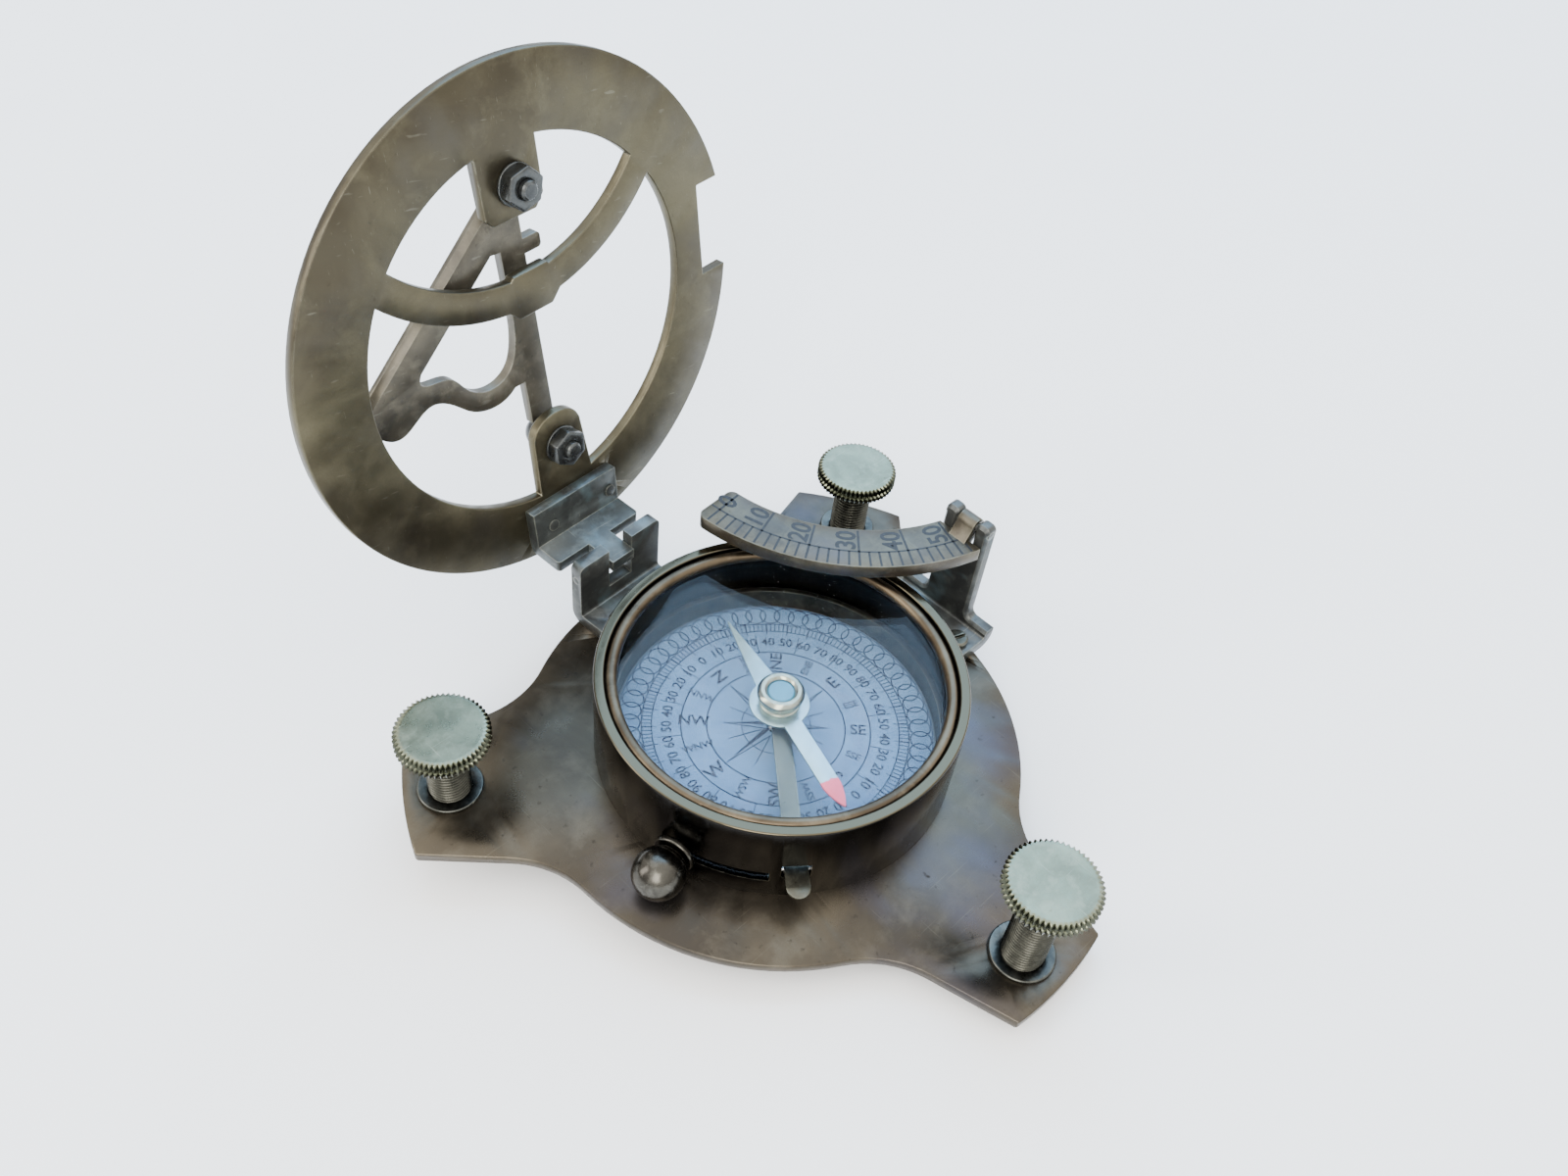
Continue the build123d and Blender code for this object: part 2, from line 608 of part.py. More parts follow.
with BuildPart() as hinge_leaf:
    leaf_top_z = HINGE_Z + LEAF_T / 2
    leaf_low_z = HINGE_Z - LEAF_T / 2
    tongue_end = front - 0.65
    heel = on_ring_side(up_at_height(leaf_low_z, 0), 0)
    crook = on_ring_side(up_at_height(leaf_top_z, LEAF_T), LEAF_T)
    with BuildSketch(Plane.YZ) as leaf_profile:
        with BuildLine():
            Polyline(
                on_ring_side(LEAF_TOP, 0),
                heel,
                (tongue_end, leaf_low_z),
                (tongue_end, leaf_top_z),
                crook,
                on_ring_side(LEAF_TOP, LEAF_T),
                close=True,
            )
        make_face()
        fillet(leaf_profile.vertices().sort_by_distance(heel)[0], 1.6)
    extrude(amount=LEAF_W / 2, both=True)
    # The tongue is what is left between the two shoulders
    with BuildSketch(Plane.XY.offset(leaf_low_z - 1)):
        for side in (-1, 1):
            with Locations((side * (TONGUE_W / 2 + 5), SHOULDER_Y - 5)):
                Rectangle(10, 10)
    extrude(amount=LEAF_T + 2, mode=Mode.SUBTRACT)
    with BuildSketch(hinge_plane):
        Circle(HINGE_PIN_R + RUN_GAP)
    extrude(amount=TONGUE_W, both=True, mode=Mode.SUBTRACT)
    shoulder_corners = hinge_leaf.edges().filter_by(Axis.Z).filter_by(
        lambda e: abs(e.center().Y - SHOULDER_Y) < 0.01 and abs(e.center().X) > LEAF_W / 2 - 0.01
    )
    fillet(shoulder_corners, 0.6)
    with BuildSketch(leaf_plane):
        with Locations(*rivet_spots):
            Circle(0.8)
    extrude(amount=LEAF_T, mode=Mode.SUBTRACT)
save(hinge_place * hinge_leaf.part, "hinge_leaf")

with BuildPart() as hinge_screws:
    with BuildSketch():
        with Locations(*hinge_screw_spots):
            Circle(SCREW_SHANK_R)
    extrude(amount=PLATE_T + BRACKET_T)
    with BuildSketch(Plane.XY.offset(PLATE_T + BRACKET_T)):
        with Locations(*hinge_screw_spots):
            Circle(SCREW_HEAD_R)
    extrude(amount=SCREW_HEAD_T)
    fillet(hinge_screws.edges().filter_by(GeomType.CIRCLE).group_by(Axis.Z)[-1], 0.4)
    with BuildSketch(Plane.XY.offset(PLATE_T + BRACKET_T + SCREW_HEAD_T - 0.5)):
        with Locations(*hinge_screw_spots):
            Rectangle(2 * SCREW_HEAD_R + 1, 0.5, rotation=35)
    extrude(amount=0.5, mode=Mode.SUBTRACT)
save(hinge_place * hinge_screws.part, "hinge_screws")

# ---------------------------------------------------------------- hour ring

with BuildPart() as hour_ring:
    with BuildSketch(ring_plane):
        Circle(RING_R)
        Circle(RING_HOLE_R, mode=Mode.SUBTRACT)
        # Crosspiece, an arc about a centre above the ring's own
        with BuildSketch(mode=Mode.PRIVATE) as bow:
            with Locations((0, BOW_CENTRE)):
                Circle(BOW_R + BOW_W / 2)
                Circle(BOW_R - BOW_W / 2, mode=Mode.SUBTRACT)
            Circle(RING_HOLE_R + 1, mode=Mode.INTERSECT)
        add(bow.sketch)
        # Boss in the middle of the crosspiece
        with BuildSketch(mode=Mode.PRIVATE) as boss:
            Rectangle(9.0, 6.2)
            chamfer(boss.vertices(), 1.6)
        with Locations((NOON_X, BOW_CENTRE - BOW_R - 0.3)):
            add(boss.sketch)
        # Upper lug: straight sides with a blunt point
        with BuildLine():
            Polyline(
                (-5.0, RING_HOLE_R + 1), (-4.9, 18.2), (-3.9, 17.0), (3.3, 17.0), (4.7, 18.6), (4.8, RING_HOLE_R + 1),
                close=True,
            )
        make_face()
        # Lower lug: tapers towards the noon line and has a rounded head
        with BuildLine():
            Line((5.5, -RING_HOLE_R - 1), (4.6, -17.0))
            Spline((4.6, -17.0), (3.6, -15.2), (0.4, -14.1), (-3.0, -15.2), (-4.1, -17.0))
            Line((-4.1, -17.0), (-4.6, -RING_HOLE_R - 1))
            Line((-4.6, -RING_HOLE_R - 1), (5.5, -RING_HOLE_R - 1))
        make_face()
        # Side notch that clears the latitude arc and its bracket
        with Locations(((NOTCH_R + RING_R + 2) / 2, (NOTCH_LOW + NOTCH_HIGH) / 2)):
            Rectangle(RING_R + 2 - NOTCH_R, NOTCH_HIGH - NOTCH_LOW, mode=Mode.SUBTRACT)
        with Locations(*post_spots):
            Circle(STUD_R + 0.01, mode=Mode.SUBTRACT)
    extrude(amount=-RING_T)
    with BuildSketch(leaf_plane):
        with Locations(*rivet_spots):
            Circle(0.8)
    extrude(amount=-RING_T, mode=Mode.SUBTRACT)
save(hinge_place * hour_ring.part, "hour_ring")

with BuildPart() as leaf_rivets:
    with BuildSketch(leaf_plane.offset(-RING_T)):
        with Locations(*rivet_spots):
            Circle(0.8)
    extrude(amount=RING_T + LEAF_T)
    with BuildSketch(leaf_plane.offset(LEAF_T)):
        with Locations(*rivet_spots):
            Circle(0.95)
    extrude(amount=0.2)
save(hinge_place * leaf_rivets.part, "leaf_rivets")

# ---------------------------------------------------------------- eye posts, washers and nuts

with BuildPart() as eye_posts:
    for level in POST_LEVELS:
        spot = pivot_plane.from_local_coords((0, level, 0))
        with BuildSketch(Plane(origin=spot, x_dir=ring_x, z_dir=noon_dir)):
            with BuildLine():
                ThreePointArc((0, BALL_R), (BALL_R, 0), (0, -BALL_R))
                Line((0, -BALL_R), (0, BALL_R))
            make_face()
        revolve(axis=Axis(spot, ring_near))
        neck_plane = Plane(origin=spot, x_dir=ring_x, z_dir=ring_near)
        with BuildSketch(neck_plane):
            Circle(1.9)
        extrude(amount=PIVOT_BACK)
        with BuildSketch(neck_plane):
            Circle(STUD_R)
        extrude(amount=PIVOT_BACK + RING_T + WASHER_T + NUT_T + 0.9)
        with BuildSketch(Plane(origin=spot, x_dir=ring_x, z_dir=noon_dir)):
            Circle(PIVOT_R + RUN_GAP)
        extrude(amount=BALL_R + 1, both=True, mode=Mode.SUBTRACT)
    stud_ends = eye_posts.edges().filter_by(GeomType.CIRCLE).filter_by(
        lambda e: abs(e.radius - STUD_R) < 0.01
        and (e.arc_center - ring_origin).dot(ring_near) > WASHER_T + NUT_T + 0.5
    )
    chamfer(stud_ends, 0.3)
save(hinge_place * eye_posts.part, "eye_posts")

with BuildPart() as post_washers:
    with BuildSketch(ring_plane):
        with Locations(*post_spots):
            Circle(WASHER_R)
            Circle(STUD_R + 0.05, mode=Mode.SUBTRACT)
    extrude(amount=WASHER_T)
save(hinge_place * post_washers.part, "post_washers")

with BuildPart() as post_nuts:
    with BuildSketch(ring_plane.offset(WASHER_T)):
        for spot, turn in zip(post_spots, (28, 12)):
            with Locations(spot):
                RegularPolygon(NUT_AF / 2, 6, major_radius=False, rotation=turn)
                Circle(STUD_R + 0.02, mode=Mode.SUBTRACT)
    extrude(amount=NUT_T)
save(hinge_place * post_nuts.part, "post_nuts")

# ---------------------------------------------------------------- gnomon, folded flat behind the ring

with BuildPart() as gnomon:
    bar_left, bar_right = -1.8, 2.1
    bar_low = POST_LEVELS[0] + BALL_R + 0.4
    bar_top = POST_LEVELS[1] - BALL_R - 0.4
    style_top, style_foot = (-2.9, 17.9), (-26.2, -0.4)
    with BuildSketch(pivot_plane.offset(-GNOMON_T / 2)):
        # Outer form: bar, style, toe and scroll
        with BuildLine():
            Polyline(
                (bar_left, bar_low),
                (bar_right, bar_low),
                (bar_right, bar_top - 0.8),
                (0.8, bar_top),
                (-1.4, bar_top),
            )
            Line((-1.4, bar_top), style_top)
            Line(style_top, style_foot)
            ThreePointArc(style_foot, (-27.0, -3.4), (-25.4, -6.0))
            Spline(
                (-25.4, -6.0),
                (-21.8, -7.0),
                (-19.0, -5.5),
                (-17.2, -5.0),
                (-14.5, -6.2),
                (-11.2, -9.3),
                (-7.6, -10.5),
                (-3.6, -9.3),
            )
            Polyline((-3.6, -9.3), (bar_left, -9.3), (bar_left, bar_low))
        make_face()
        # The open D between bar, style and scroll
        with BuildLine():
            Polyline((bar_left, 1.6), (bar_left, 11.2), (-3.4, 11.4), (-17.6, 0.3))
            Spline(
                (-17.6, 0.3),
                (-17.9, -1.3),
                (-15.4, -2.1),
                (-13.2, -2.9),
                (-11.3, -5.5),
                (-9.2, -7.1),
                (-6.8, -7.5),
                (-4.2, -6.5),
                (-2.4, -3.4),
                (bar_left, 1.6),
            )
        make_face(mode=Mode.SUBTRACT)
        # Stop lug on the other side of the bar, just above the crosspiece
        with Locations((bar_right + 1.1, 10.5)):
            RectangleRounded(3.6, 2.2, 0.6)
    extrude(amount=GNOMON_T)
    # The style's upper edge is bevelled on the side towards the ring
    style_mid = pivot_plane.from_local_coords(
        ((style_top[0] + style_foot[0]) / 2, (style_top[1] + style_foot[1]) / 2, GNOMON_T / 2)
    )
    chamfer(gnomon.edges().sort_by_distance(style_mid)[0], 0.8)
    # Round pivots that turn in the eye posts
    for side, root_level, post_level in ((-1, bar_low + 1.0, POST_LEVELS[0]), (1, bar_top - 1.0, POST_LEVELS[1])):
        root = pivot_plane.from_local_coords((0, root_level, 0))
        with BuildSketch(Plane(origin=root, x_dir=ring_x, z_dir=noon_dir * side)):
            Circle(PIVOT_R)
        extrude(amount=(post_level - root_level) * side + BALL_R * 0.8)
save(hinge_place * gnomon.part, "gnomon")

# ---------------------------------------------------------------- latitude bracket, pin and arc

with BuildPart() as latitude_bracket:
    inner_face = LAT_X - BRACKET_T / 2
    outer_face = LAT_X + BRACKET_T / 2
    foot_inner = 30.2
    with BuildSketch(Plane.XZ) as lat_profile:
        with BuildLine():
            Polyline(
                (foot_inner, PLATE_T),
                (outer_face, PLATE_T),
                (outer_face, LAT_TOP),
                (inner_face, LAT_TOP),
                (inner_face, PLATE_T + BRACKET_T),
                (foot_inner, PLATE_T + BRACKET_T),
                close=True,
            )
        make_face()
        fillet(lat_profile.vertices().sort_by_distance((outer_face, PLATE_T))[0], BRACKET_T + 0.3)
        fillet(lat_profile.vertices().sort_by_distance((inner_face, PLATE_T + BRACKET_T))[0], 0.5)
    extrude(amount=LAT_FOOT_W / 2, both=True)
    # The upright is narrower than the foot, with a fillet at each step, and forked at its top
    side_plane = Plane(origin=(inner_face - 1, 0, 0), x_dir=(0, 1, 0), z_dir=(1, 0, 0))
    with BuildSketch(side_plane) as beside_upright:
        for side in (-1, 1):
            with Locations((side * (LAT_W / 2 + 5), LAT_STEP_Z + 12.5)):
                Rectangle(10, 25)
        inner_corners = beside_upright.vertices().filter_by(
            lambda v: abs(v.Y - LAT_STEP_Z) < 0.01 and abs(abs(v.X) - LAT_W / 2) < 0.01
        )
        fillet(inner_corners, 1.2)
        with Locations((0, (FORK_BOTTOM + LAT_TOP) / 2 + 1)):
            Rectangle(FORK_GAP, LAT_TOP - FORK_BOTTOM + 2)
    extrude(amount=BRACKET_T + 2, mode=Mode.SUBTRACT)
    ear_corners = latitude_bracket.edges().filter_by(Axis.X).filter_by(
        lambda e: e.center().Z > LAT_TOP - 0.01
    )
    fillet(ear_corners, 0.9)
    inner_edges = latitude_bracket.edges().filter_by(Axis.Y).filter_by(
        lambda e: e.center().Z > LAT_TOP - 0.01 and e.center().X < LAT_X
    )
    chamfer(inner_edges, 0.5)
    with BuildSketch(lat_pin_plane):
        Circle(LAT_PIN_R + 0.01)
    extrude(amount=LAT_W, both=True, mode=Mode.SUBTRACT)
    with BuildSketch(Plane.XY.offset(PLATE_T)):
        with Locations(*lat_screw_spots):
            Circle(SCREW_SHANK_R)
    extrude(amount=BRACKET_T, mode=Mode.SUBTRACT)
save(lat_place * latitude_bracket.part, "latitude_bracket")

with BuildPart() as latitude_screws:
    with BuildSketch():
        with Locations(*lat_screw_spots):
            Circle(SCREW_SHANK_R)
    extrude(amount=PLATE_T + BRACKET_T)
    with BuildSketch(Plane.XY.offset(PLATE_T + BRACKET_T)):
        with Locations(*lat_screw_spots):
            Circle(SCREW_HEAD_R)
    extrude(amount=SCREW_HEAD_T)
    fillet(latitude_screws.edges().filter_by(GeomType.CIRCLE).group_by(Axis.Z)[-1], 0.4)
    with BuildSketch(Plane.XY.offset(PLATE_T + BRACKET_T + SCREW_HEAD_T - 0.5)):
        with Locations(*lat_screw_spots):
            Rectangle(2 * SCREW_HEAD_R + 1, 0.5, rotation=-20)
    extrude(amount=0.5, mode=Mode.SUBTRACT)
save(lat_place * latitude_screws.part, "latitude_screws")

with BuildPart() as latitude_pin:
    with BuildSketch(lat_pin_plane):
        Circle(LAT_PIN_R)
    extrude(amount=LAT_W / 2, both=True)
save(lat_place * latitude_pin.part, "latitude_pin")


def arc_point(radius, angle):
    """A point of the arc, its angle measured from the -X direction towards -Y."""
    a = radians(angle)
    return (ARC_CENTRE[0] - radius * cos(a), ARC_CENTRE[1] - radius * sin(a))


def arc_end(radius):
    """Where an arc of the given radius meets the straight end by the bracket."""
    return (ARC_END_X, ARC_CENTRE[1] - sqrt(radius**2 - (ARC_CENTRE[0] - ARC_END_X) ** 2))


with BuildPart() as latitude_arc:
    with BuildSketch(Plane.XY.offset(ARC_TOP - ARC_T)) as arc_face:
        with BuildLine():
            inner_end, outer_end = arc_end(ARC_INNER_R), arc_end(ARC_OUTER_R)
            ThreePointArc(arc_point(ARC_INNER_R, ARC_FREE_ANGLE), arc_point(ARC_INNER_R, 40), inner_end)
            Line(inner_end, outer_end)
            ThreePointArc(outer_end, arc_point(ARC_OUTER_R, 40), arc_point(ARC_OUTER_R, ARC_FREE_ANGLE))
            Line(arc_point(ARC_OUTER_R, ARC_FREE_ANGLE), arc_point(ARC_INNER_R, ARC_FREE_ANGLE))
        make_face()
        free_corners = arc_face.vertices().sort_by_distance(
            arc_point((ARC_INNER_R + ARC_OUTER_R) / 2, ARC_FREE_ANGLE)
        )[:2]
        fillet(free_corners, 1.2)
    extrude(amount=ARC_T)
    # Tang that rises from the arc's end to an eye around the pin
    arc_low = ARC_TOP - ARC_T - LAT_Z
    with BuildSketch(Plane(origin=(LAT_X, LAT_Y, LAT_Z), x_dir=(1, 0, 0), z_dir=(0, -1, 0))):
        with BuildLine():
            Polyline(
                (-2.6, arc_low),
                (-1.5, arc_low),
                (0.6, -EYE_R + 0.15),
                (-0.8, EYE_R - 0.3),
                (-2.6, ARC_TOP - LAT_Z),
                close=True,
            )
        make_face()
        Circle(EYE_R)
    extrude(amount=TANG_W / 2, both=True)
    with BuildSketch(lat_pin_plane):
        Circle(LAT_PIN_R + RUN_GAP)
    extrude(amount=TANG_W, both=True, mode=Mode.SUBTRACT)
save(latitude_arc.part, "latitude_arc")

# ---------------------------------------------------------------- common origin and export

os.makedirs("parts", exist_ok=True)
boxes = [piece.bounding_box() for piece in pieces.values()]
middle_x = (min(b.min.X for b in boxes) + max(b.max.X for b in boxes)) / 2
middle_y = (min(b.min.Y for b in boxes) + max(b.max.Y for b in boxes)) / 2
lowest = min(b.min.Z for b in boxes)
for name, piece in pieces.items():
    placed = Pos(-middle_x, -middle_y, -lowest) * piece
    placed.label = name
    export_step(placed, f"parts/{name}.step")
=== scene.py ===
"""Looks of the folding sundial compass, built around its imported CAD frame."""

import json
from math import cos, floor, pi, radians, sin, sqrt

import bpy
from mathutils import Matrix, Vector

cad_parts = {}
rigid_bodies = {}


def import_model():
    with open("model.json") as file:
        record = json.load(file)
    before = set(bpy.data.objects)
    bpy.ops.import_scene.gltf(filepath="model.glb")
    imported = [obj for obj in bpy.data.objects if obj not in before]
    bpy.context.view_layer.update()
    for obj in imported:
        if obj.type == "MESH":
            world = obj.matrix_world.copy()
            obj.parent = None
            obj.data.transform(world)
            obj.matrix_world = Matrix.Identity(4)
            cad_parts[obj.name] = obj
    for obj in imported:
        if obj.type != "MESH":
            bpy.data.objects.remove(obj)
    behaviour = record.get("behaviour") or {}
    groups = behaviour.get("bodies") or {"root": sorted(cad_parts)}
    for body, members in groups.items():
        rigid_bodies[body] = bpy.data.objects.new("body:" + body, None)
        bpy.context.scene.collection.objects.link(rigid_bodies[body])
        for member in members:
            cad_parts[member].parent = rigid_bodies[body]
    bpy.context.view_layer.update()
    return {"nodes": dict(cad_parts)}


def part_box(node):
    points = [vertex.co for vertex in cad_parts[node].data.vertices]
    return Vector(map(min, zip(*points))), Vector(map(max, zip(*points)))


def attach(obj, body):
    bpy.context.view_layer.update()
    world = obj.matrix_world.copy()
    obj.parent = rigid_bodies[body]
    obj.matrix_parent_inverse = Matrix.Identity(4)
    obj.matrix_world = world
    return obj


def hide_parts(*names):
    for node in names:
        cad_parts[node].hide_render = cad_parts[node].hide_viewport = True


for leftover in list(bpy.data.objects):
    bpy.data.objects.remove(leftover)

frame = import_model()
nodes = frame["nodes"]
MM = 0.001

# ---------------------------------------------------------------- places, in mm from the compass axis

case_low, case_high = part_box("compass_case")
plate_low, plate_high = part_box("base_plate")
AXIS = Vector(((case_low.x + case_high.x) / 2, (case_low.y + case_high.y) / 2, plate_low.z))


def at(x, y, z):
    return AXIS + Vector((x, y, z)) * MM


# ---------------------------------------------------------------- mesh helpers


def make(name, verts, faces, body, material, smooth=True):
    mesh = bpy.data.meshes.new(name)
    mesh.from_pydata([tuple(v) for v in verts], [], faces)
    mesh.update()
    obj = bpy.data.objects.new(name, mesh)
    bpy.context.scene.collection.objects.link(obj)
    for polygon in mesh.polygons:
        polygon.use_smooth = smooth
    mesh.materials.append(material)
    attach(obj, body)
    return obj


WELD_GAP = 0.01
ROUNDED_ABOVE = 32


def soften(obj, width):
    """Welds a node's split corners and rounds its sharp edges a little, without touching its mesh."""
    weld = obj.modifiers.new("weld", "WELD")
    weld.merge_threshold = WELD_GAP * MM
    bevel = obj.modifiers.new("edges", "BEVEL")
    bevel.width = width * MM
    bevel.segments = 2
    bevel.limit_method = "ANGLE"
    bevel.angle_limit = radians(ROUNDED_ABOVE)
    bevel.harden_normals = True
    for polygon in obj.data.polygons:
        polygon.use_smooth = True


def turned(name, profile, centre, body, material, radius_at, steps):
    """A closed lathe form about a vertical line: profile is (radius, height), from the bottom up."""
    verts = []
    faces = []
    for radius, height in profile:
        for k in range(steps):
            turn = 2 * pi * k / steps
            r = radius_at(radius, height, turn)
            verts.append(centre + Vector((r * cos(turn), r * sin(turn), height)) * MM)
    for row in range(len(profile) - 1):
        for k in range(steps):
            a, b = row * steps + k, row * steps + (k + 1) % steps
            faces.append((a, b, b + steps, a + steps))
    for row in (0, len(profile) - 1):
        verts.append(centre + Vector((0, 0, profile[row][1])) * MM)
        hub = len(verts) - 1
        for k in range(steps):
            a, b = row * steps + k, row * steps + (k + 1) % steps
            faces.append((a, b, hub) if row else (b, a, hub))
    return make(name, verts, faces, body, material)


def by_angle(obj, angle):
    """Hard creases where a smooth piece made here turns by more than the angle."""
    mesh = obj.data
    crease = mesh.attributes.new("sharp_edge", "BOOLEAN", "EDGE")
    normals = {}
    for polygon in mesh.polygons:
        for key in polygon.edge_keys:
            normals.setdefault(key, []).append(polygon.normal.copy())
    values = []
    for edge in mesh.edges:
        pair = normals.get(tuple(sorted(edge.vertices)), [])
        values.append(len(pair) == 2 and pair[0].angle(pair[1], 0) > radians(angle))
    crease.data.foreach_set("value", values)


# ---------------------------------------------------------------- materials


def nodes_of(name):
    material = bpy.data.materials.new(name)
    material.use_nodes = True
    tree = material.node_tree
    shader = next(n for n in tree.nodes if n.type == "BSDF_PRINCIPLED")
    return material, tree, shader


EDGE_REACH = 0.35


class Kit:
    """Short ways to add nodes that work in millimetres of the object's own coordinates."""

    def __init__(self, tree):
        self.tree = tree
        coordinates = tree.nodes.new("ShaderNodeTexCoord")
        self.mm = self.mapped(coordinates.outputs["Object"], (1 / MM, 1 / MM, 1 / MM), (0, 0, 0))

    def mapped(self, source, scale, rotation):
        node = self.tree.nodes.new("ShaderNodeMapping")
        node.inputs["Scale"].default_value = scale
        node.inputs["Rotation"].default_value = [radians(v) for v in rotation]
        self.tree.links.new(source, node.inputs["Vector"])
        return node.outputs["Vector"]

    def noise(self, scale, detail=4, roughness=0.55, stretch=None, rotation=(0, 0, 0), distortion=0.0):
        node = self.tree.nodes.new("ShaderNodeTexNoise")
        node.inputs["Scale"].default_value = scale
        node.inputs["Detail"].default_value = detail
        node.inputs["Roughness"].default_value = roughness
        node.inputs["Distortion"].default_value = distortion
        source = self.mapped(self.mm, stretch, rotation) if stretch else self.mm
        self.tree.links.new(source, node.inputs["Vector"])
        return node.outputs["Fac"]

    def span(self, value, low, high, out_low=0.0, out_high=1.0):
        node = self.tree.nodes.new("ShaderNodeMapRange")
        node.inputs["From Min"].default_value = low
        node.inputs["From Max"].default_value = high
        node.inputs["To Min"].default_value = out_low
        node.inputs["To Max"].default_value = out_high
        self.tree.links.new(value, node.inputs["Value"])
        return node.outputs["Result"]

    def math(self, operation, a, b):
        node = self.tree.nodes.new("ShaderNodeMath")
        node.operation = operation
        for socket, value in zip(node.inputs, (a, b)):
            if isinstance(value, (int, float)):
                socket.default_value = value
            else:
                self.tree.links.new(value, socket)
        return node.outputs[0]

    def blend(self, factor, a, b):
        node = self.tree.nodes.new("ShaderNodeMix")
        node.data_type = "RGBA"
        for socket, value in ((node.inputs[0], factor), (node.inputs[6], a), (node.inputs[7], b)):
            if isinstance(value, (int, float)):
                socket.default_value = value
            elif isinstance(value, tuple):
                socket.default_value = (*value, 1)
            else:
                self.tree.links.new(value, socket)
        return node.outputs[2]

    def edge(self):
        """Near 1 on convex and concave edges, 0 on open faces."""
        bevel = self.tree.nodes.new("ShaderNodeBevel")
        bevel.samples = 6
        bevel.inputs["Radius"].default_value = EDGE_REACH * MM
        geometry = self.tree.nodes.new("ShaderNodeNewGeometry")
        dot = self.tree.nodes.new("ShaderNodeVectorMath")
        dot.operation = "DOT_PRODUCT"
        self.tree.links.new(bevel.outputs[0], dot.inputs[0])
        self.tree.links.new(geometry.outputs["Normal"], dot.inputs[1])
        return self.span(dot.outputs["Value"], 0.995, 0.86)

    def depth(self):
        """Height above the plate's underside."""
        split = self.tree.nodes.new("ShaderNodeSeparateXYZ")
        self.tree.links.new(self.mm, split.inputs[0])
        return self.math("SUBTRACT", split.outputs["Z"], AXIS.z / MM)

    def upward(self):
        """How far the surface faces up."""
        geometry = self.tree.nodes.new("ShaderNodeNewGeometry")
        split = self.tree.nodes.new("ShaderNodeSeparateXYZ")
        self.tree.links.new(geometry.outputs["Normal"], split.inputs[0])
        return split.outputs["Z"]

    def cavity(self):
        """Near 1 in hollows of a dense mesh, such as thread and knurl grooves."""
        geometry = self.tree.nodes.new("ShaderNodeNewGeometry")
        return self.span(geometry.outputs["Pointiness"], 0.49, 0.40)

    def bump(self, shader, height, strength, distance=0.05):
        node = self.tree.nodes.new("ShaderNodeBump")
        node.inputs["Strength"].default_value = strength
        node.inputs["Distance"].default_value = distance * MM
        self.tree.links.new(height, node.inputs["Height"])
        self.tree.links.new(node.outputs["Normal"], shader.inputs["Normal"])


def shade(colour, share):
    return tuple(share * v for v in colour)


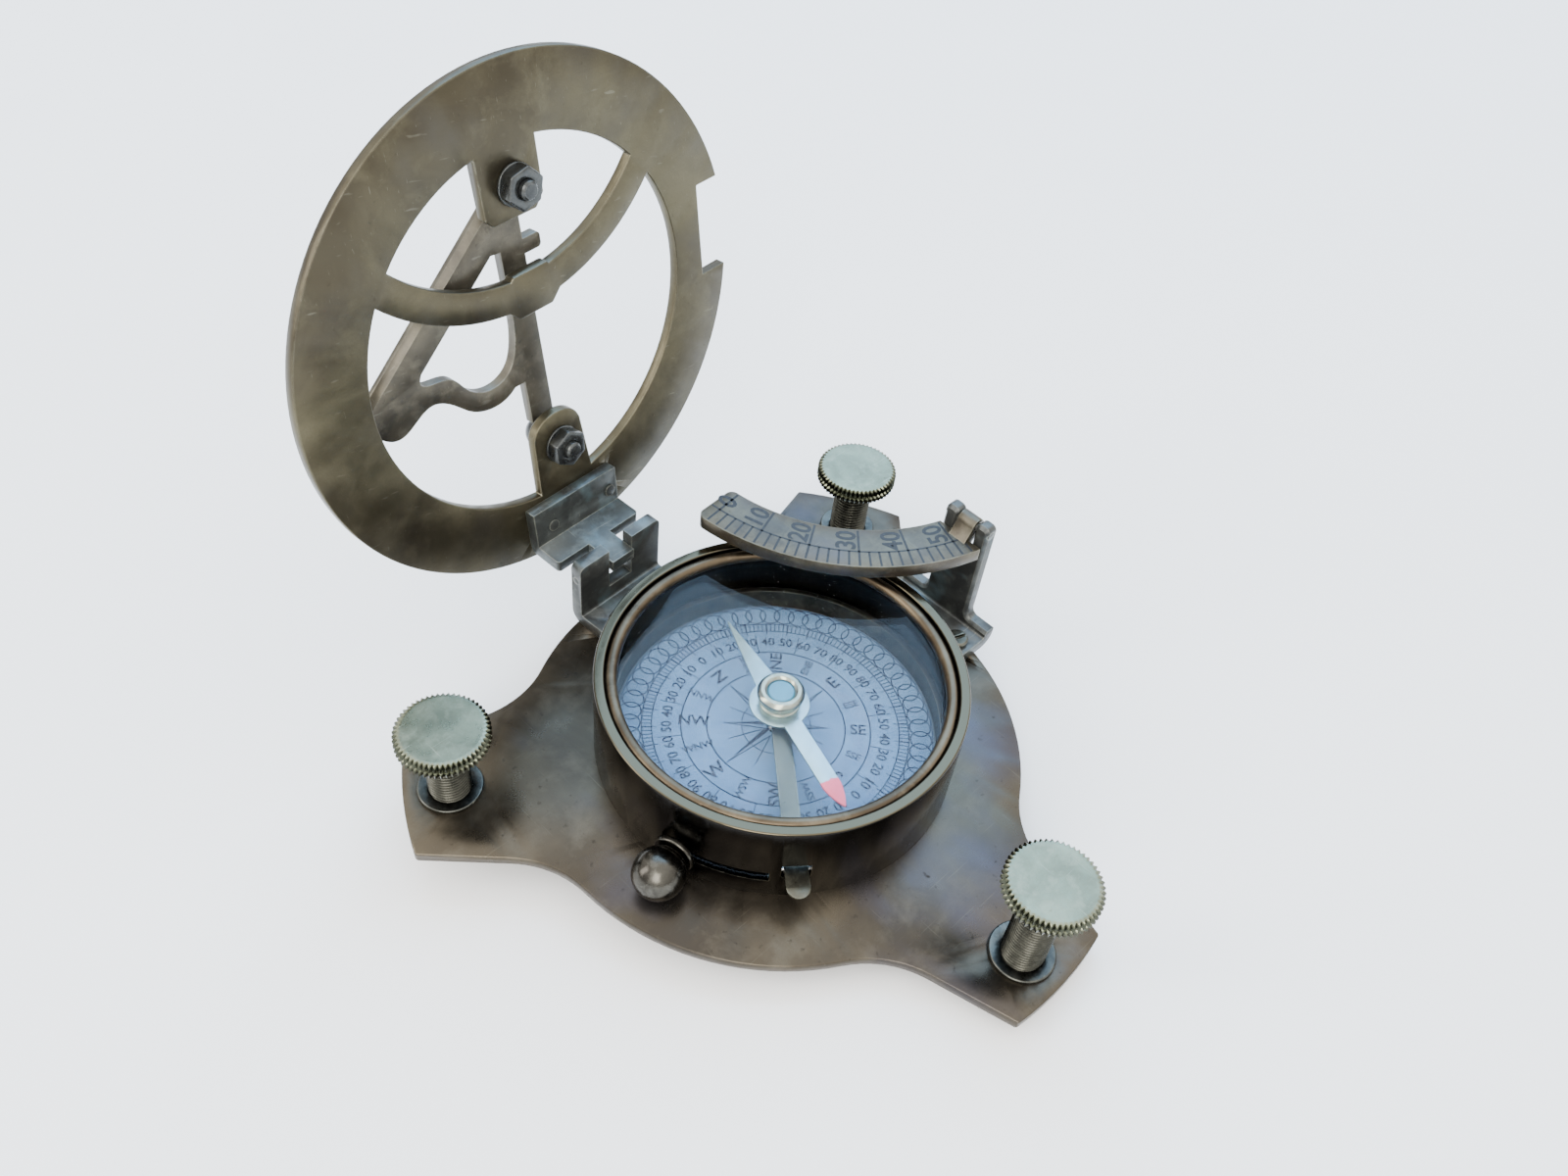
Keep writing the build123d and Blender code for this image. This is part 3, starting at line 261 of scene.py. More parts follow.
def worn_metal(
    name, base, dark, pale, worn, rough=0.34, wear=0.7, patches=0.09, spots=0.5, scratch=0.35,
    brush=None, tint=None, grain=0.15, groove_shade=0.0, side_shade=0.0, crown=None, metallic=1.0,
):
    """Aged metal: patches of patina, spots, scratches, worn edges and a fine grain, with painted shade on
    sideways faces and in grooves where asked.

    base, dark, pale, worn and tint are colours; wear, spots, scratch, grain, hollow and sides are strengths;
    patches is the scale of the patina; brush is (stretch, rotation, strength) of the strokes, and crown is
    (height, colour) of a top that has kept another colour.
    """
    material, tree, shader = nodes_of(name)
    kit = Kit(tree)
    large = kit.noise(patches, 5, 0.6, distortion=0.6)
    colour = kit.blend(kit.span(large, 0.36, 0.66), dark, base)
    clouds = kit.noise(patches * 3.1, 6, 0.62, distortion=0.3)
    colour = kit.blend(kit.span(clouds, 0.5, 0.78, 0, 0.8), colour, pale)
    if tint:
        veil = kit.noise(patches * 1.7, 3, 0.5, stretch=(1, 0.6, 1), rotation=(0, 0, 40))
        colour = kit.blend(kit.span(veil, 0.54, 0.74, 0, 0.75), colour, tint)
    stain = kit.noise(0.9, 3, 0.5)
    colour = kit.blend(kit.span(stain, 0.70 - 0.06 * spots, 0.80, 0, spots), colour, shade(dark, 0.35))
    fine = kit.noise(5.0, 2, 0.6)
    colour = kit.blend(kit.span(fine, 0.35, 0.75, 0, 0.22), colour, shade(base, 0.55))
    lines = kit.noise(1.0, 2, 0.5, stretch=(0.10, 5.0, 0.9), rotation=(0, 0, 33))
    cross = kit.noise(1.0, 2, 0.5, stretch=(4.6, 0.12, 0.9), rotation=(0, 0, -17))
    marks = kit.math("MAXIMUM", kit.span(lines, 0.69, 0.76), kit.span(cross, 0.70, 0.77))
    colour = kit.blend(kit.math("MULTIPLY", marks, scratch), colour, worn)
    edge = kit.edge()
    worn_edge = kit.math("MULTIPLY", edge, kit.span(kit.noise(0.55, 4, 0.6), 0.3, 0.6, 0.25, 1))
    colour = kit.blend(kit.math("MULTIPLY", worn_edge, wear), colour, worn)
    if crown:
        level, top_colour = crown
        colour = kit.blend(kit.span(kit.depth(), level - 0.12, level, 0, 0.9), colour, top_colour)
    # Painted shade: faces that turn sideways are darkened towards a deep shade of the dark colour.
    if side_shade:
        colour = kit.blend(kit.span(kit.upward(), 0.75, 0.35, 0, side_shade), colour, shade(dark, 0.30))
    # Painted shade: the grooves of threads and knurls are darkened.
    if groove_shade:
        colour = kit.blend(kit.math("MULTIPLY", kit.cavity(), groove_shade), colour, shade(dark, 0.12))
    tree.links.new(colour, shader.inputs["Base Color"])
    shader.inputs["Metallic"].default_value = metallic
    rough_value = kit.span(clouds, 0.3, 0.75, rough - 0.07, rough + 0.12)
    rough_value = kit.math("ADD", rough_value, kit.span(stain, 0.66, 0.8, 0, 0.18))
    rough_value = kit.math("SUBTRACT", rough_value, kit.math("MULTIPLY", edge, 0.06))
    tree.links.new(rough_value, shader.inputs["Roughness"])
    relief = kit.math("ADD", kit.math("MULTIPLY", fine, grain), kit.math("MULTIPLY", marks, -0.5 * scratch))
    if brush:
        strokes = kit.noise(1.0, 3, 0.6, stretch=brush[0], rotation=brush[1])
        relief = kit.math("ADD", relief, kit.math("MULTIPLY", strokes, brush[2]))
    kit.bump(shader, relief, 0.55)
    return material


def clear_glass(name):
    """Clear pane that lets the lamps' light through to what lies under it."""
    material, tree, shader = nodes_of(name)
    tint = (0.93, 0.96, 0.98, 1)
    shader.inputs["Base Color"].default_value = tint
    shader.inputs["Roughness"].default_value = 0.02
    shader.inputs["IOR"].default_value = 1.2
    shader.inputs["Transmission Weight"].default_value = 1.0
    output = next(n for n in tree.nodes if n.type == "OUTPUT_MATERIAL")
    clear = tree.nodes.new("ShaderNodeBsdfTransparent")
    clear.inputs["Color"].default_value = tint
    path = tree.nodes.new("ShaderNodeLightPath")
    lamps = tree.nodes.new("ShaderNodeMixShader")
    tree.links.new(path.outputs["Is Shadow Ray"], lamps.inputs[0])
    tree.links.new(shader.outputs[0], lamps.inputs[1])
    tree.links.new(clear.outputs[0], lamps.inputs[2])
    tree.links.new(lamps.outputs[0], output.inputs["Surface"])
    return material


def plain(name, colour, rough, metallic=0.0, variation=0.25, scale=0.6, coat=0.0):
    """One colour with soft clouds in it, for small pieces."""
    material, tree, shader = nodes_of(name)
    kit = Kit(tree)
    cloud = kit.noise(scale, 4, 0.6)
    clouded = kit.blend(kit.span(cloud, 0.35, 0.7), shade(colour, 1 - variation), colour)
    tree.links.new(clouded, shader.inputs["Base Color"])
    uneven = kit.span(kit.noise(scale * 4, 3), 0.3, 0.7, rough - 0.05, rough + 0.08)
    tree.links.new(uneven, shader.inputs["Roughness"])
    shader.inputs["Metallic"].default_value = metallic
    shader.inputs["Coat Weight"].default_value = coat
    kit.bump(shader, kit.noise(6, 2), 0.12, 0.03)
    return material


def card_paper(name):
    """Paper, a little mottled, with fine fibres, coloured greyish blue as a painted reflection of the blue
    lamp in the glass above it.
    """
    material, tree, shader = nodes_of(name)
    kit = Kit(tree)
    mottle = kit.noise(0.35, 5, 0.65)
    fibre = kit.noise(9, 2, 0.6, stretch=(1, 0.3, 1))
    # Painted reflection: these blues stand in for the blue lamp's reflection in the glass over the card.
    colour = kit.blend(kit.span(mottle, 0.3, 0.7), (0.082, 0.165, 0.290), (0.125, 0.235, 0.385))
    colour = kit.blend(kit.span(fibre, 0.4, 0.8, 0, 0.25), colour, (0.070, 0.130, 0.240))
    colour = kit.blend(kit.span(kit.noise(0.16, 3), 0.55, 0.75, 0, 0.5), colour, (0.125, 0.160, 0.265))
    tree.links.new(colour, shader.inputs["Base Color"])
    shader.inputs["Roughness"].default_value = 0.8
    kit.bump(shader, fibre, 0.1, 0.02)
    return material


NEEDLE_BEARING, NEEDLE_Z, TAIL_LENGTH, PAINT_REACH = 73.0, 8.85, 18.9, 5.05


def needle_paint(name, tip):
    """Pale steel, painted red around the tip, with a ragged edge to the paint."""
    material, tree, shader = nodes_of(name)
    kit = Kit(tree)
    steel = kit.blend(kit.span(kit.noise(0.8, 4), 0.3, 0.7), (0.26, 0.37, 0.38), (0.36, 0.49, 0.50))
    away = tree.nodes.new("ShaderNodeVectorMath")
    away.operation = "DISTANCE"
    tree.links.new(kit.mm, away.inputs[0])
    away.inputs[1].default_value = tip / MM
    ragged = kit.math("ADD", away.outputs["Value"], kit.math("MULTIPLY", kit.noise(1.6, 3), 0.9))
    painted = kit.span(ragged, PAINT_REACH + 0.1, PAINT_REACH - 0.1)
    red = kit.blend(kit.noise(1.2, 3), (0.62, 0.045, 0.10), (0.78, 0.10, 0.16))
    colour = kit.blend(painted, steel, red)
    tree.links.new(colour, shader.inputs["Base Color"])
    tree.links.new(kit.math("SUBTRACT", 1.0, painted), shader.inputs["Metallic"])
    tree.links.new(kit.span(kit.noise(3, 3), 0.3, 0.7, 0.28, 0.42), shader.inputs["Roughness"])
    kit.bump(shader, kit.noise(1.0, 2, stretch=(0.3, 4, 1), rotation=(0, 0, 17)), 0.1, 0.03)
    return material


plate_brass = worn_metal(
    "plate_patina", (0.084, 0.070, 0.049), (0.042, 0.036, 0.029), (0.120, 0.105, 0.080), (0.26, 0.24, 0.18),
    rough=0.30, tint=(0.060, 0.058, 0.076), spots=0.7, scratch=0.14, patches=0.040, metallic=0.92,
)
case_brass = worn_metal(
    "case_patina", (0.011, 0.010, 0.009), (0.007, 0.006, 0.006), (0.019, 0.017, 0.015), (0.16, 0.16, 0.13),
    rough=0.17, spots=0.3, scratch=0.10, wear=0.8, patches=0.05, crown=(15.85, (0.092, 0.080, 0.052)),
)
bezel_brass = worn_metal(
    "bezel_brass", (0.125, 0.096, 0.062), (0.062, 0.047, 0.032), (0.180, 0.150, 0.104), (0.20, 0.18, 0.14),
    rough=0.34, spots=0.5, scratch=0.15, wear=0.3,
)
ring_brass = worn_metal(
    "ring_brass", (0.096, 0.084, 0.051), (0.056, 0.048, 0.032), (0.128, 0.115, 0.073), (0.36, 0.35, 0.27),
    rough=0.36, spots=0.3, scratch=0.14, wear=0.8, patches=0.045, metallic=0.9,
    brush=((0.05, 2.4, 2.4), (0, 0, 3), 0.35), tint=(0.060, 0.055, 0.047),
)
hinge_brass = worn_metal(
    "hinge_patina", (0.084, 0.088, 0.082), (0.042, 0.044, 0.044), (0.140, 0.150, 0.136), (0.30, 0.31, 0.26),
    rough=0.38, spots=0.4, scratch=0.25, wear=0.7, patches=0.14, metallic=0.65,
    brush=((2.6, 0.06, 0.6), (0, 0, 20), 0.5), tint=(0.120, 0.165, 0.180),
)
leaf_brass = worn_metal(
    "leaf_patina", (0.080, 0.088, 0.083), (0.042, 0.045, 0.044), (0.140, 0.160, 0.155), (0.34, 0.35, 0.29),
    rough=0.38, spots=0.4, scratch=0.25, wear=0.7, patches=0.13, metallic=0.6,
    brush=((2.6, 0.06, 0.6), (0, 0, 20), 0.5), tint=(0.135, 0.195, 0.215),
)
gnomon_brass = worn_metal(
    "gnomon_patina", (0.108, 0.096, 0.070), (0.052, 0.047, 0.038), (0.155, 0.142, 0.108), (0.28, 0.28, 0.23),
    rough=0.36, spots=0.5, scratch=0.2, wear=0.6, patches=0.12, metallic=0.7,
)
screw_brass = worn_metal(
    "screw_brass", (0.215, 0.232, 0.158), (0.136, 0.144, 0.098), (0.285, 0.302, 0.220), (0.38, 0.40, 0.31),
    rough=0.30, spots=0.3, scratch=0.45, wear=0.12, patches=0.16, groove_shade=0.95, side_shade=0.92,
)
rod_brass = worn_metal(
    "rod_brass", (0.046, 0.045, 0.037), (0.024, 0.024, 0.020), (0.072, 0.072, 0.058), (0.15, 0.15, 0.12),
    rough=0.28, spots=0.3, scratch=0.1, wear=0.25, patches=0.3, groove_shade=0.95,
)
bush_brass = worn_metal(
    "bush_brass", (0.080, 0.082, 0.072), (0.038, 0.038, 0.035), (0.130, 0.130, 0.112), (0.26, 0.27, 0.22),
    rough=0.31, spots=0.4, scratch=0.15, wear=0.5, patches=0.25,
)
arc_brass = worn_metal(
    "arc_brass", (0.104, 0.090, 0.064), (0.060, 0.052, 0.043), (0.145, 0.132, 0.094), (0.28, 0.28, 0.21),
    rough=0.34, spots=0.4, scratch=0.16, wear=0.6, patches=0.10, tint=(0.088, 0.080, 0.080), metallic=0.85,
)
lever_brass = worn_metal(
    "lever_brass", (0.115, 0.112, 0.086), (0.066, 0.064, 0.052), (0.165, 0.162, 0.128), (0.26, 0.26, 0.21),
    rough=0.33, spots=0.3, scratch=0.15, wear=0.5, patches=0.2,
)
knob_bronze = worn_metal(
    "knob_bronze", (0.080, 0.076, 0.064), (0.040, 0.037, 0.032), (0.120, 0.116, 0.100), (0.20, 0.19, 0.15),
    rough=0.22, spots=0.3, scratch=0.15, wear=0.2, patches=0.2,
)
nut_steel = worn_metal(
    "nut_steel", (0.070, 0.074, 0.072), (0.038, 0.040, 0.041), (0.110, 0.116, 0.110), (0.28, 0.29, 0.28),
    rough=0.28, spots=0.15, scratch=0.15, wear=0.6, patches=0.2, metallic=0.85,
)
cap_brass = worn_metal(
    "cap_brass", (0.36, 0.36, 0.27), (0.24, 0.24, 0.18), (0.46, 0.46, 0.36), (0.54, 0.54, 0.46),
    rough=0.20, spots=0.2, scratch=0.1, wear=0.3, patches=0.3,
)
tray_brass = worn_metal(
    "tray_brass", (0.06, 0.055, 0.045), (0.03, 0.028, 0.024), (0.10, 0.09, 0.072), (0.17, 0.16, 0.13),
    rough=0.4, spots=0.4, scratch=0.1, patches=0.2,
)
pivot_steel = plain("pivot_steel", (0.55, 0.55, 0.53), 0.3, 1.0)
jewel_glass = plain("jewel_glass", (0.02, 0.17, 0.26), 0.16, 0.0, coat=0.3)
card_paper_and_reflection = card_paper("card_paper")
glass = clear_glass("clear_glass")
print_ink = plain("print_ink", (0.018, 0.022, 0.045), 0.75, variation=0.4, scale=0.9)
engraving_ink = plain("engraving_ink", (0.004, 0.004, 0.006), 0.55, variation=0.4)
dust_white = plain("dust", (0.70, 0.74, 0.78), 0.9)

sharp_end = Vector((cos(radians(NEEDLE_BEARING)), sin(radians(NEEDLE_BEARING)), 0))
needle_steel = needle_paint("needle_steel", at(0, 0, NEEDLE_Z) - sharp_end * TAIL_LENGTH * MM)

FINISH = {
    "base_plate": plate_brass, "screw_bushes": bush_brass, "compass_case": case_brass,
    "case_screws": lever_brass, "bezel_ring": bezel_brass, "glass": glass, "card_tray": tray_brass,
    "compass_card": card_paper_and_reflection, "knob_stem": knob_bronze, "ball_knob": knob_bronze, "needle_pivot": pivot_steel,
    "needle_blade": needle_steel, "needle_cap": cap_brass, "needle_jewel": jewel_glass,
    "needle_lifter": lever_brass, "fulcrum_pin": pivot_steel, "hinge_bracket": hinge_brass,
    "hinge_pin": hinge_brass, "hinge_screws": lever_brass, "hinge_leaf": leaf_brass,
    "leaf_rivets": hinge_brass, "hour_ring": ring_brass, "eye_posts": nut_steel, "post_washers": nut_steel,
    "post_nuts": nut_steel, "gnomon": gnomon_brass, "latitude_bracket": hinge_brass,
    "latitude_screws": lever_brass, "latitude_pin": hinge_brass, "latitude_arc": arc_brass,
}
for number in (1, 2, 3):
    FINISH[f"levelling_rod_{number}"] = rod_brass
    FINISH[f"levelling_head_{number}"] = screw_brass
LEAST_ROUNDING = 0.04
ROUNDING = {
    "base_plate": 0.22, "hour_ring": 0.18, "latitude_arc": 0.22, "hinge_bracket": 0.15, "hinge_leaf": 0.15,
    "latitude_bracket": 0.18, "gnomon": 0.14, "post_nuts": 0.22, "post_washers": 0.08, "needle_lifter": 0.08,
    "compass_case": 0.06, "leaf_rivets": 0.06, "screw_bushes": 0.10, "needle_blade": 0.05,
}
for name, node in nodes.items():
    node.data.materials.clear()
    node.data.materials.append(FINISH[name])
    if name == "glass":
        for polygon in node.data.polygons:
            polygon.use_smooth = False
    else:
        soften(node, ROUNDING.get(name, LEAST_ROUNDING))

# ---------------------------------------------------------------- levelling screws

HEAD_R, HEAD_T, ROD_R, ROD_L, FOOT_L, TIP_R = 6.35, 2.7, 3.0, 19.0, 3.0, 0.8
PITCH, THREAD_DEPTH = 0.6, 0.42
TEETH, TOOTH_DEPTH, TOOTH_BAND = 54, 0.46, 0.75


def knurl(radius, height, turn):
    """Pointed teeth on the rims, none on the flat faces, shallower where the rim is chamfered."""
    if radius < HEAD_R - TOOTH_BAND:
        return radius
    phase = (turn * TEETH / (2 * pi)) % 1.0
    tooth = abs(2 * phase - 1)
    return radius - TOOTH_DEPTH * (1 - tooth) * min(1.0, max(0.0, (radius - HEAD_R + TOOTH_BAND) / 0.45))


head_profile = [
    (2.4, 0.0), (5.3, 0.0), (5.75, 0.04), (6.1, 0.22), (HEAD_R, 0.5), (HEAD_R, 1.05),
    (HEAD_R - 0.12, 1.18), (HEAD_R - 0.5, 1.35), (HEAD_R - 0.12, 1.52),
    (HEAD_R, 1.65), (HEAD_R, 2.2), (6.15, 2.48), (5.85, 2.63), (5.45, HEAD_T), (5.2, HEAD_T),
    (3.2, HEAD_T - 0.015), (1.2, HEAD_T - 0.02),
]


def thread(radius, height, turn):
    """Screw thread with rounded crests, only where the rod has its full radius."""
    if radius < ROD_R - 0.01:
        return radius
    phase = (height / PITCH - turn / (2 * pi)) % 1.0
    groove = 0.5 + 0.5 * cos(2 * pi * phase)
    return radius - THREAD_DEPTH * groove ** 0.8


def rod_profile():
    """From the foot's small flat up its cone, then rows close enough for the thread, then the top."""
    cone_low, cone_high = 0.05 - ROD_L, FOOT_L - 0.2 - ROD_L
    profile = [(0.5, -ROD_L), (TIP_R, cone_low)]
    for k in range(1, 7):
        share = k / 6
        profile.append((TIP_R + (ROD_R - 0.3 - TIP_R) * share, cone_low + (cone_high - cone_low) * share))
    row = PITCH / 8
    for k in range(floor((ROD_L - FOOT_L - 0.05) / row) + 1):
        profile.append((ROD_R, FOOT_L - ROD_L + row * k))
    return profile + [(ROD_R - 0.5, -0.045), (1.0, -0.045)]


for number in (1, 2, 3):
    head_low, head_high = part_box(f"levelling_head_{number}")
    seat = (head_low + head_high) / 2
    seat.z = head_low.z
    head = turned(
        f"knurled_head_{number}", head_profile, seat, f"head_{number}", screw_brass,
        knurl, TEETH * 6,
    )
    by_angle(head, 28)
    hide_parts(f"levelling_head_{number}")
    rod = turned(
        f"threaded_rod_{number}", rod_profile(), seat, f"rod_{number}", rod_brass, thread, 40
    )
    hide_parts(f"levelling_rod_{number}")

# ---------------------------------------------------------------- ink: flat strokes, shapes and lettering


def polar(radius, angle, centre=(0, 0)):
    return (centre[0] + radius * cos(radians(angle)), centre[1] + radius * sin(radians(angle)))


def lettering(text):
    """Outline faces of a line of text, one unit high, centred on the origin."""
    curve = bpy.data.curves.new("line_of_text", "FONT")
    curve.body = text
    curve.align_x = "CENTER"
    curve.align_y = "CENTER"
    curve.resolution_u = 3
    curve.offset = 0.022
    holder = bpy.data.objects.new("line_of_text", curve)
    bpy.context.scene.collection.objects.link(holder)
    bpy.context.view_layer.update()
    mesh = holder.evaluated_get(bpy.context.evaluated_depsgraph_get()).to_mesh()
    verts = [v.co.copy() for v in mesh.vertices]
    faces = [tuple(p.vertices) for p in mesh.polygons]
    holder.to_mesh_clear()
    bpy.data.objects.remove(holder)
    return verts, faces


class Ink:
    """Flat shapes on a plane, each a hair above the surface; points are (x, y) in millimetres."""

    def __init__(self, height):
        self.height = height
        self.verts = []
        self.faces = []
        self.known = {}

    def shape(self, points):
        first = len(self.verts)
        self.verts += [at(x, y, self.height) for x, y in points]
        order = list(range(first, first + len(points)))
        area = sum(
            points[k - 1][0] * points[k][1] - points[k][0] * points[k - 1][1] for k in range(len(points))
        )
        self.faces.append(tuple(order if area > 0 else reversed(order)))

    def stroke(self, a, b, width):
        dx, dy = b[0] - a[0], b[1] - a[1]
        length = sqrt(dx * dx + dy * dy)
        nx, ny = -dy / length * width / 2, dx / length * width / 2
        self.shape([
            (a[0] + nx, a[1] + ny), (a[0] - nx, a[1] - ny), (b[0] - nx, b[1] - ny), (b[0] + nx, b[1] + ny),
        ])

    def arc(self, centre, radius, width, start=0, end=360, steps=120):
        inner, outer = radius - width / 2, radius + width / 2
        for k in range(steps):
            a = start + (end - start) * k / steps
            b = start + (end - start) * (k + 1) / steps
            corners = ((inner, a), (outer, a), (outer, b), (inner, b))
            self.shape([polar(distance, angle, centre) for distance, angle in corners])

    def text(self, words, centre, size, turn, wide=1.0):
        if words not in self.known:
            self.known[words] = lettering(words)
        verts, faces = self.known[words]
        c, s = cos(radians(turn)), sin(radians(turn))
        first = len(self.verts)
        for v in verts:
            x, y = v.x * size * wide, v.y * size
            self.verts.append(at(centre[0] + x * c - y * s, centre[1] + x * s + y * c, self.height))
        self.faces += [tuple(first + k for k in f) for f in faces]

    def finish(self, name, body, material):
        make(name, self.verts, self.faces, body, material, smooth=False)


# Compass card: north lies on +Y
CARD_TOP, GLASS_TOP = 3.56, 14.415
card_ink = Ink(CARD_TOP)
for radius, width in ((5.0, 0.14), (10.0, 0.22), (13.7, 0.22), (17.9, 0.18), (19.3, 0.20), (22.8, 0.20)):
    card_ink.arc((0, 0), radius, width)
for degree in range(0, 360, 2):
    card_ink.stroke(polar(17.95, degree), polar(19.25, degree), 0.26 if degree % 10 == 0 else 0.16)
for degree in range(0, 360, 10):
    card_ink.stroke(polar(17.2, degree), polar(17.95, degree), 0.16)
for step in range(16):
    card_ink.stroke(polar(13.7, 22.5 * step + 11.25), polar(17.2, 22.5 * step + 11.25), 0.14)
WINDS = ("N", "NNE", "NE", "ENE", "E", "ESE", "SE", "SSE", "S", "SSW", "SW", "WSW", "W", "WNW", "NW", "NNW")
for step, wind in enumerate(WINDS):
    bearing = 90 - 22.5 * step
    size = (2.9, 2.5, 1.6)[len(wind) - 1]
    card_ink.text(wind, polar(11.9, bearing), size, bearing if step <= 8 else bearing + 180)
for step in range(36):
    bearing = 90 - 10 * step
    tens = abs(((step + 9) % 18) - 9) * 10
    card_ink.text(str(tens), polar(15.7, bearing), 2.1, bearing - 90)
for step in range(8):
    bearing = 90 - 45 * step
    reach, waist = (9.6, 2.0) if step % 2 == 0 else (7.6, 1.7)
    tip = polar(reach, bearing)
    card_ink.shape([(0, 0), tip, polar(waist, bearing - 22.5)])
    card_ink.stroke(tip, polar(waist, bearing + 22.5), 0.18)
    card_ink.stroke(polar(2.2, bearing + 22.5), polar(7.4, bearing + 22.5), 0.16)
for step in range(30):
    for shift in (0, 6):
        card_ink.arc(polar(21.05, 12 * step + shift), 1.55, 0.22, steps=20)
card_ink.finish("card_print", "card", print_ink)

# Latitude arc: angles run from the free end, about the arc's own centre
ARC_TOP, ARC_INNER, ARC_OUTER = 20.1, 28.4, 36.0
ARC_MIDDLE = (44.6, 30.5)
LINE_ZERO, LINE_STEP = 7.6, 12.8
LINE_R = ARC_INNER + 0.60 * (ARC_OUTER - ARC_INNER)


def on_arc(radius, angle):
    return polar(-radius, angle, ARC_MIDDLE)


arc_ink = Ink(ARC_TOP + 0.012)
arc_ink.arc(ARC_MIDDLE, LINE_R, 0.30, 180 + 4.9, 180 + LINE_ZERO + 5 * LINE_STEP + 3.0, 60)
for tens in range(6):
    line_at = LINE_ZERO + LINE_STEP * tens
    arc_ink.stroke(on_arc(ARC_INNER + 0.25, line_at), on_arc(ARC_OUTER - 0.2, line_at), 0.36)
    label_at = line_at - (3.2 if tens else 0.2)
    label_size = 4.2 if tens else 4.4
    arc_ink.text(str(10 * tens), on_arc((ARC_INNER + LINE_R) / 2 + 0.1, label_at), label_size, label_at, 0.92)
    for tick in range(1, 5):
        tick_at = line_at + LINE_STEP * tick / 5
        if tens < 5 or tick == 1:
            arc_ink.stroke(on_arc(LINE_R, tick_at), on_arc(ARC_OUTER - 0.2, tick_at), 0.33)
arc_ink.finish("latitude_engraving", "arc", engraving_ink)

# ---------------------------------------------------------------- dust on the glass

DUST_GRAINS, DUST_R, GOLDEN_ANGLE = 260, 22.0, 137.508
dust = Ink(GLASS_TOP)
for grain in range(DUST_GRAINS):
    reach = DUST_R * sqrt((grain + 0.5) / DUST_GRAINS)
    bearing = grain * GOLDEN_ANGLE + 9 * sin(grain * 1.7)
    size = 0.025 + 0.03 * abs(sin(grain * 2.3))
    x, y = polar(reach, bearing)
    dust.shape([(x - size, y), (x, y - size * 0.8), (x + size * 0.9, y), (x, y + size)])
dust.finish("glass_dust", "base", dust_white)

# ---------------------------------------------------------------- floor, light and camera


FLOOR_REACH, FLOOR_GAP = 3.0, 0.1
LIGHTS_AIM = at(0, 0, 14)
CAMERA_AT = at(-89.65, -71.35, 154.99)
CAMERA_RIGHT, CAMERA_AHEAD = Vector((0.7059, -0.7020, 0.0948)), Vector((0.5289, 0.4333, -0.7298))


def floor_piece():
    """A plain floor through the three foot tips, since the instrument leans on its screws."""
    tips = []
    for number in (1, 2, 3):
        low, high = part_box(f"levelling_rod_{number}")
        tips.append(Vector(((low.x + high.x) / 2, (low.y + high.y) / 2, low.z - FLOOR_GAP * MM)))
    across = (tips[2] - tips[0]).normalized()
    up = across.cross(tips[0] - tips[1]).normalized()
    if up.z < 0:
        up.negate()
    along = up.cross(across)
    centre = (tips[0] + tips[1] + tips[2]) / 3
    signs = ((-1, -1), (1, -1), (1, 1), (-1, 1))
    corners = [centre + across * a * FLOOR_REACH + along * b * FLOOR_REACH for a, b in signs]
    mesh = bpy.data.meshes.new("floor")
    mesh.from_pydata([tuple(c) for c in corners], [], [(0, 1, 2, 3)])
    obj = bpy.data.objects.new("floor", mesh)
    bpy.context.scene.collection.objects.link(obj)
    material, tree, shader = nodes_of("floor_white")
    kit = Kit(tree)
    tree.links.new(
        kit.blend(kit.noise(0.02, 3), (0.90, 0.90, 0.90), (0.93, 0.93, 0.93)), shader.inputs["Base Color"]
    )
    shader.inputs["Roughness"].default_value = 0.9
    mesh.materials.append(material)


floor_piece()


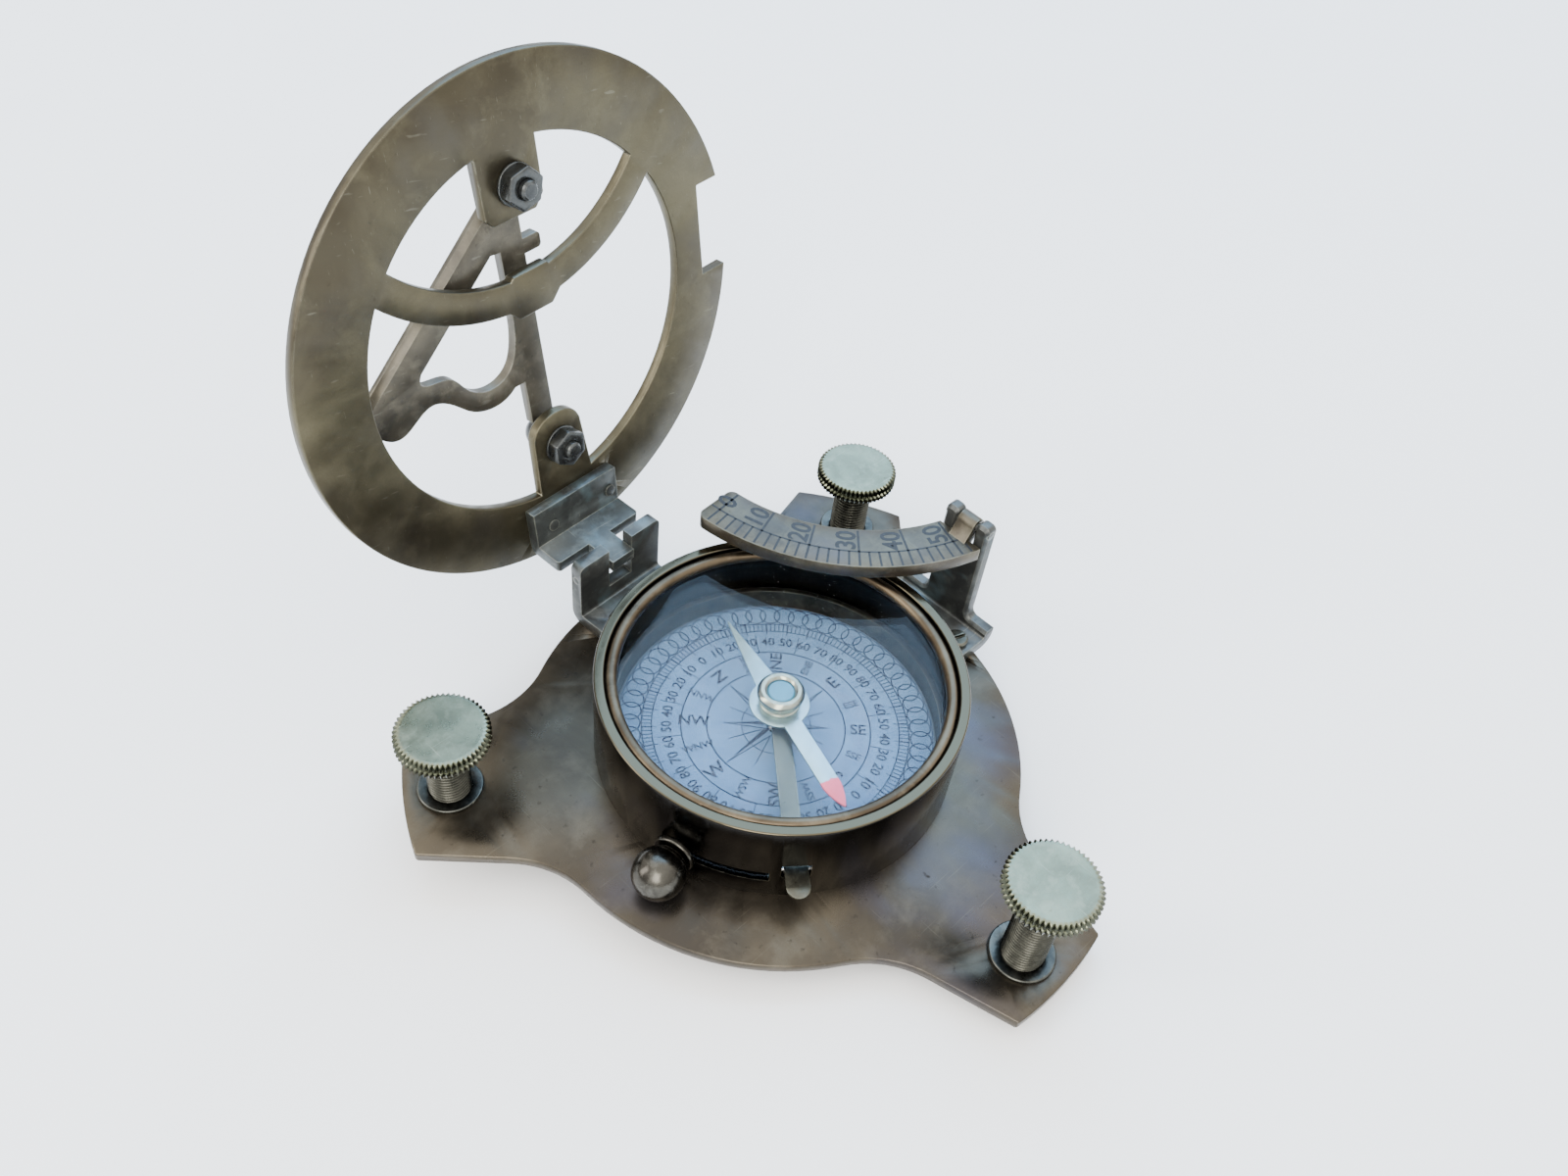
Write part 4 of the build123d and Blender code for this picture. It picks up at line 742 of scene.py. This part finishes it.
def panel(name, away, size, power, colour):
    """A rectangular light at a distance from the instrument in metres, turned towards it."""
    light = bpy.data.lights.new(name, "AREA")
    light.shape = "RECTANGLE"
    light.size, light.size_y = size
    light.energy = power
    light.color = colour
    obj = bpy.data.objects.new(name, light)
    bpy.context.scene.collection.objects.link(obj)
    obj.location = LIGHTS_AIM + Vector(away)
    obj.rotation_euler = (-Vector(away)).to_track_quat("-Z", "Y").to_euler()


panel("sky_panel", (0.53, 0.43, 0.73), (1.0, 1.0), 13.0, (0.12, 0.50, 1.0))
panel("front_panel", (-0.75, -0.55, 0.75), (0.5, 0.8), 12.0, (1.0, 0.97, 0.92))
panel("left_panel", (-0.9, 0.65, 0.55), (0.4, 0.8), 9.0, (1.0, 0.98, 0.95))

world = bpy.data.worlds.new("soft_white")
bpy.context.scene.world = world
world.use_nodes = True
background = next(n for n in world.node_tree.nodes if n.type == "BACKGROUND")
direction = world.node_tree.nodes.new("ShaderNodeTexCoord")
split = world.node_tree.nodes.new("ShaderNodeSeparateXYZ")
ramp = world.node_tree.nodes.new("ShaderNodeValToRGB")
world.node_tree.links.new(direction.outputs["Generated"], split.inputs[0])
world.node_tree.links.new(split.outputs["Z"], ramp.inputs[0])
ramp.color_ramp.elements[0].position = 0.0
ramp.color_ramp.elements[0].color = (0.22, 0.21, 0.20, 1)
ramp.color_ramp.elements[1].position = 0.85
ramp.color_ramp.elements[1].color = (1.0, 0.99, 0.96, 1)
low_sky = ramp.color_ramp.elements.new(0.35)
low_sky.color = (0.66, 0.65, 0.63, 1)
world.node_tree.links.new(ramp.outputs[0], background.inputs["Color"])
background.inputs["Strength"].default_value = 3.0

camera_data = bpy.data.cameras.new("camera")
camera_data.sensor_width = 36.0
camera_data.lens = 30.08
camera_data.clip_start = 0.01
camera = bpy.data.objects.new("camera", camera_data)
bpy.context.scene.collection.objects.link(camera)
view_right = CAMERA_RIGHT.normalized()
view_ahead = (CAMERA_AHEAD - view_right * CAMERA_AHEAD.dot(view_right)).normalized()
view_up = view_right.cross(view_ahead)
turn = Matrix((view_right, view_up, -view_ahead)).transposed().to_4x4()
camera.matrix_world = Matrix.Translation(CAMERA_AT) @ turn
bpy.context.scene.camera = camera
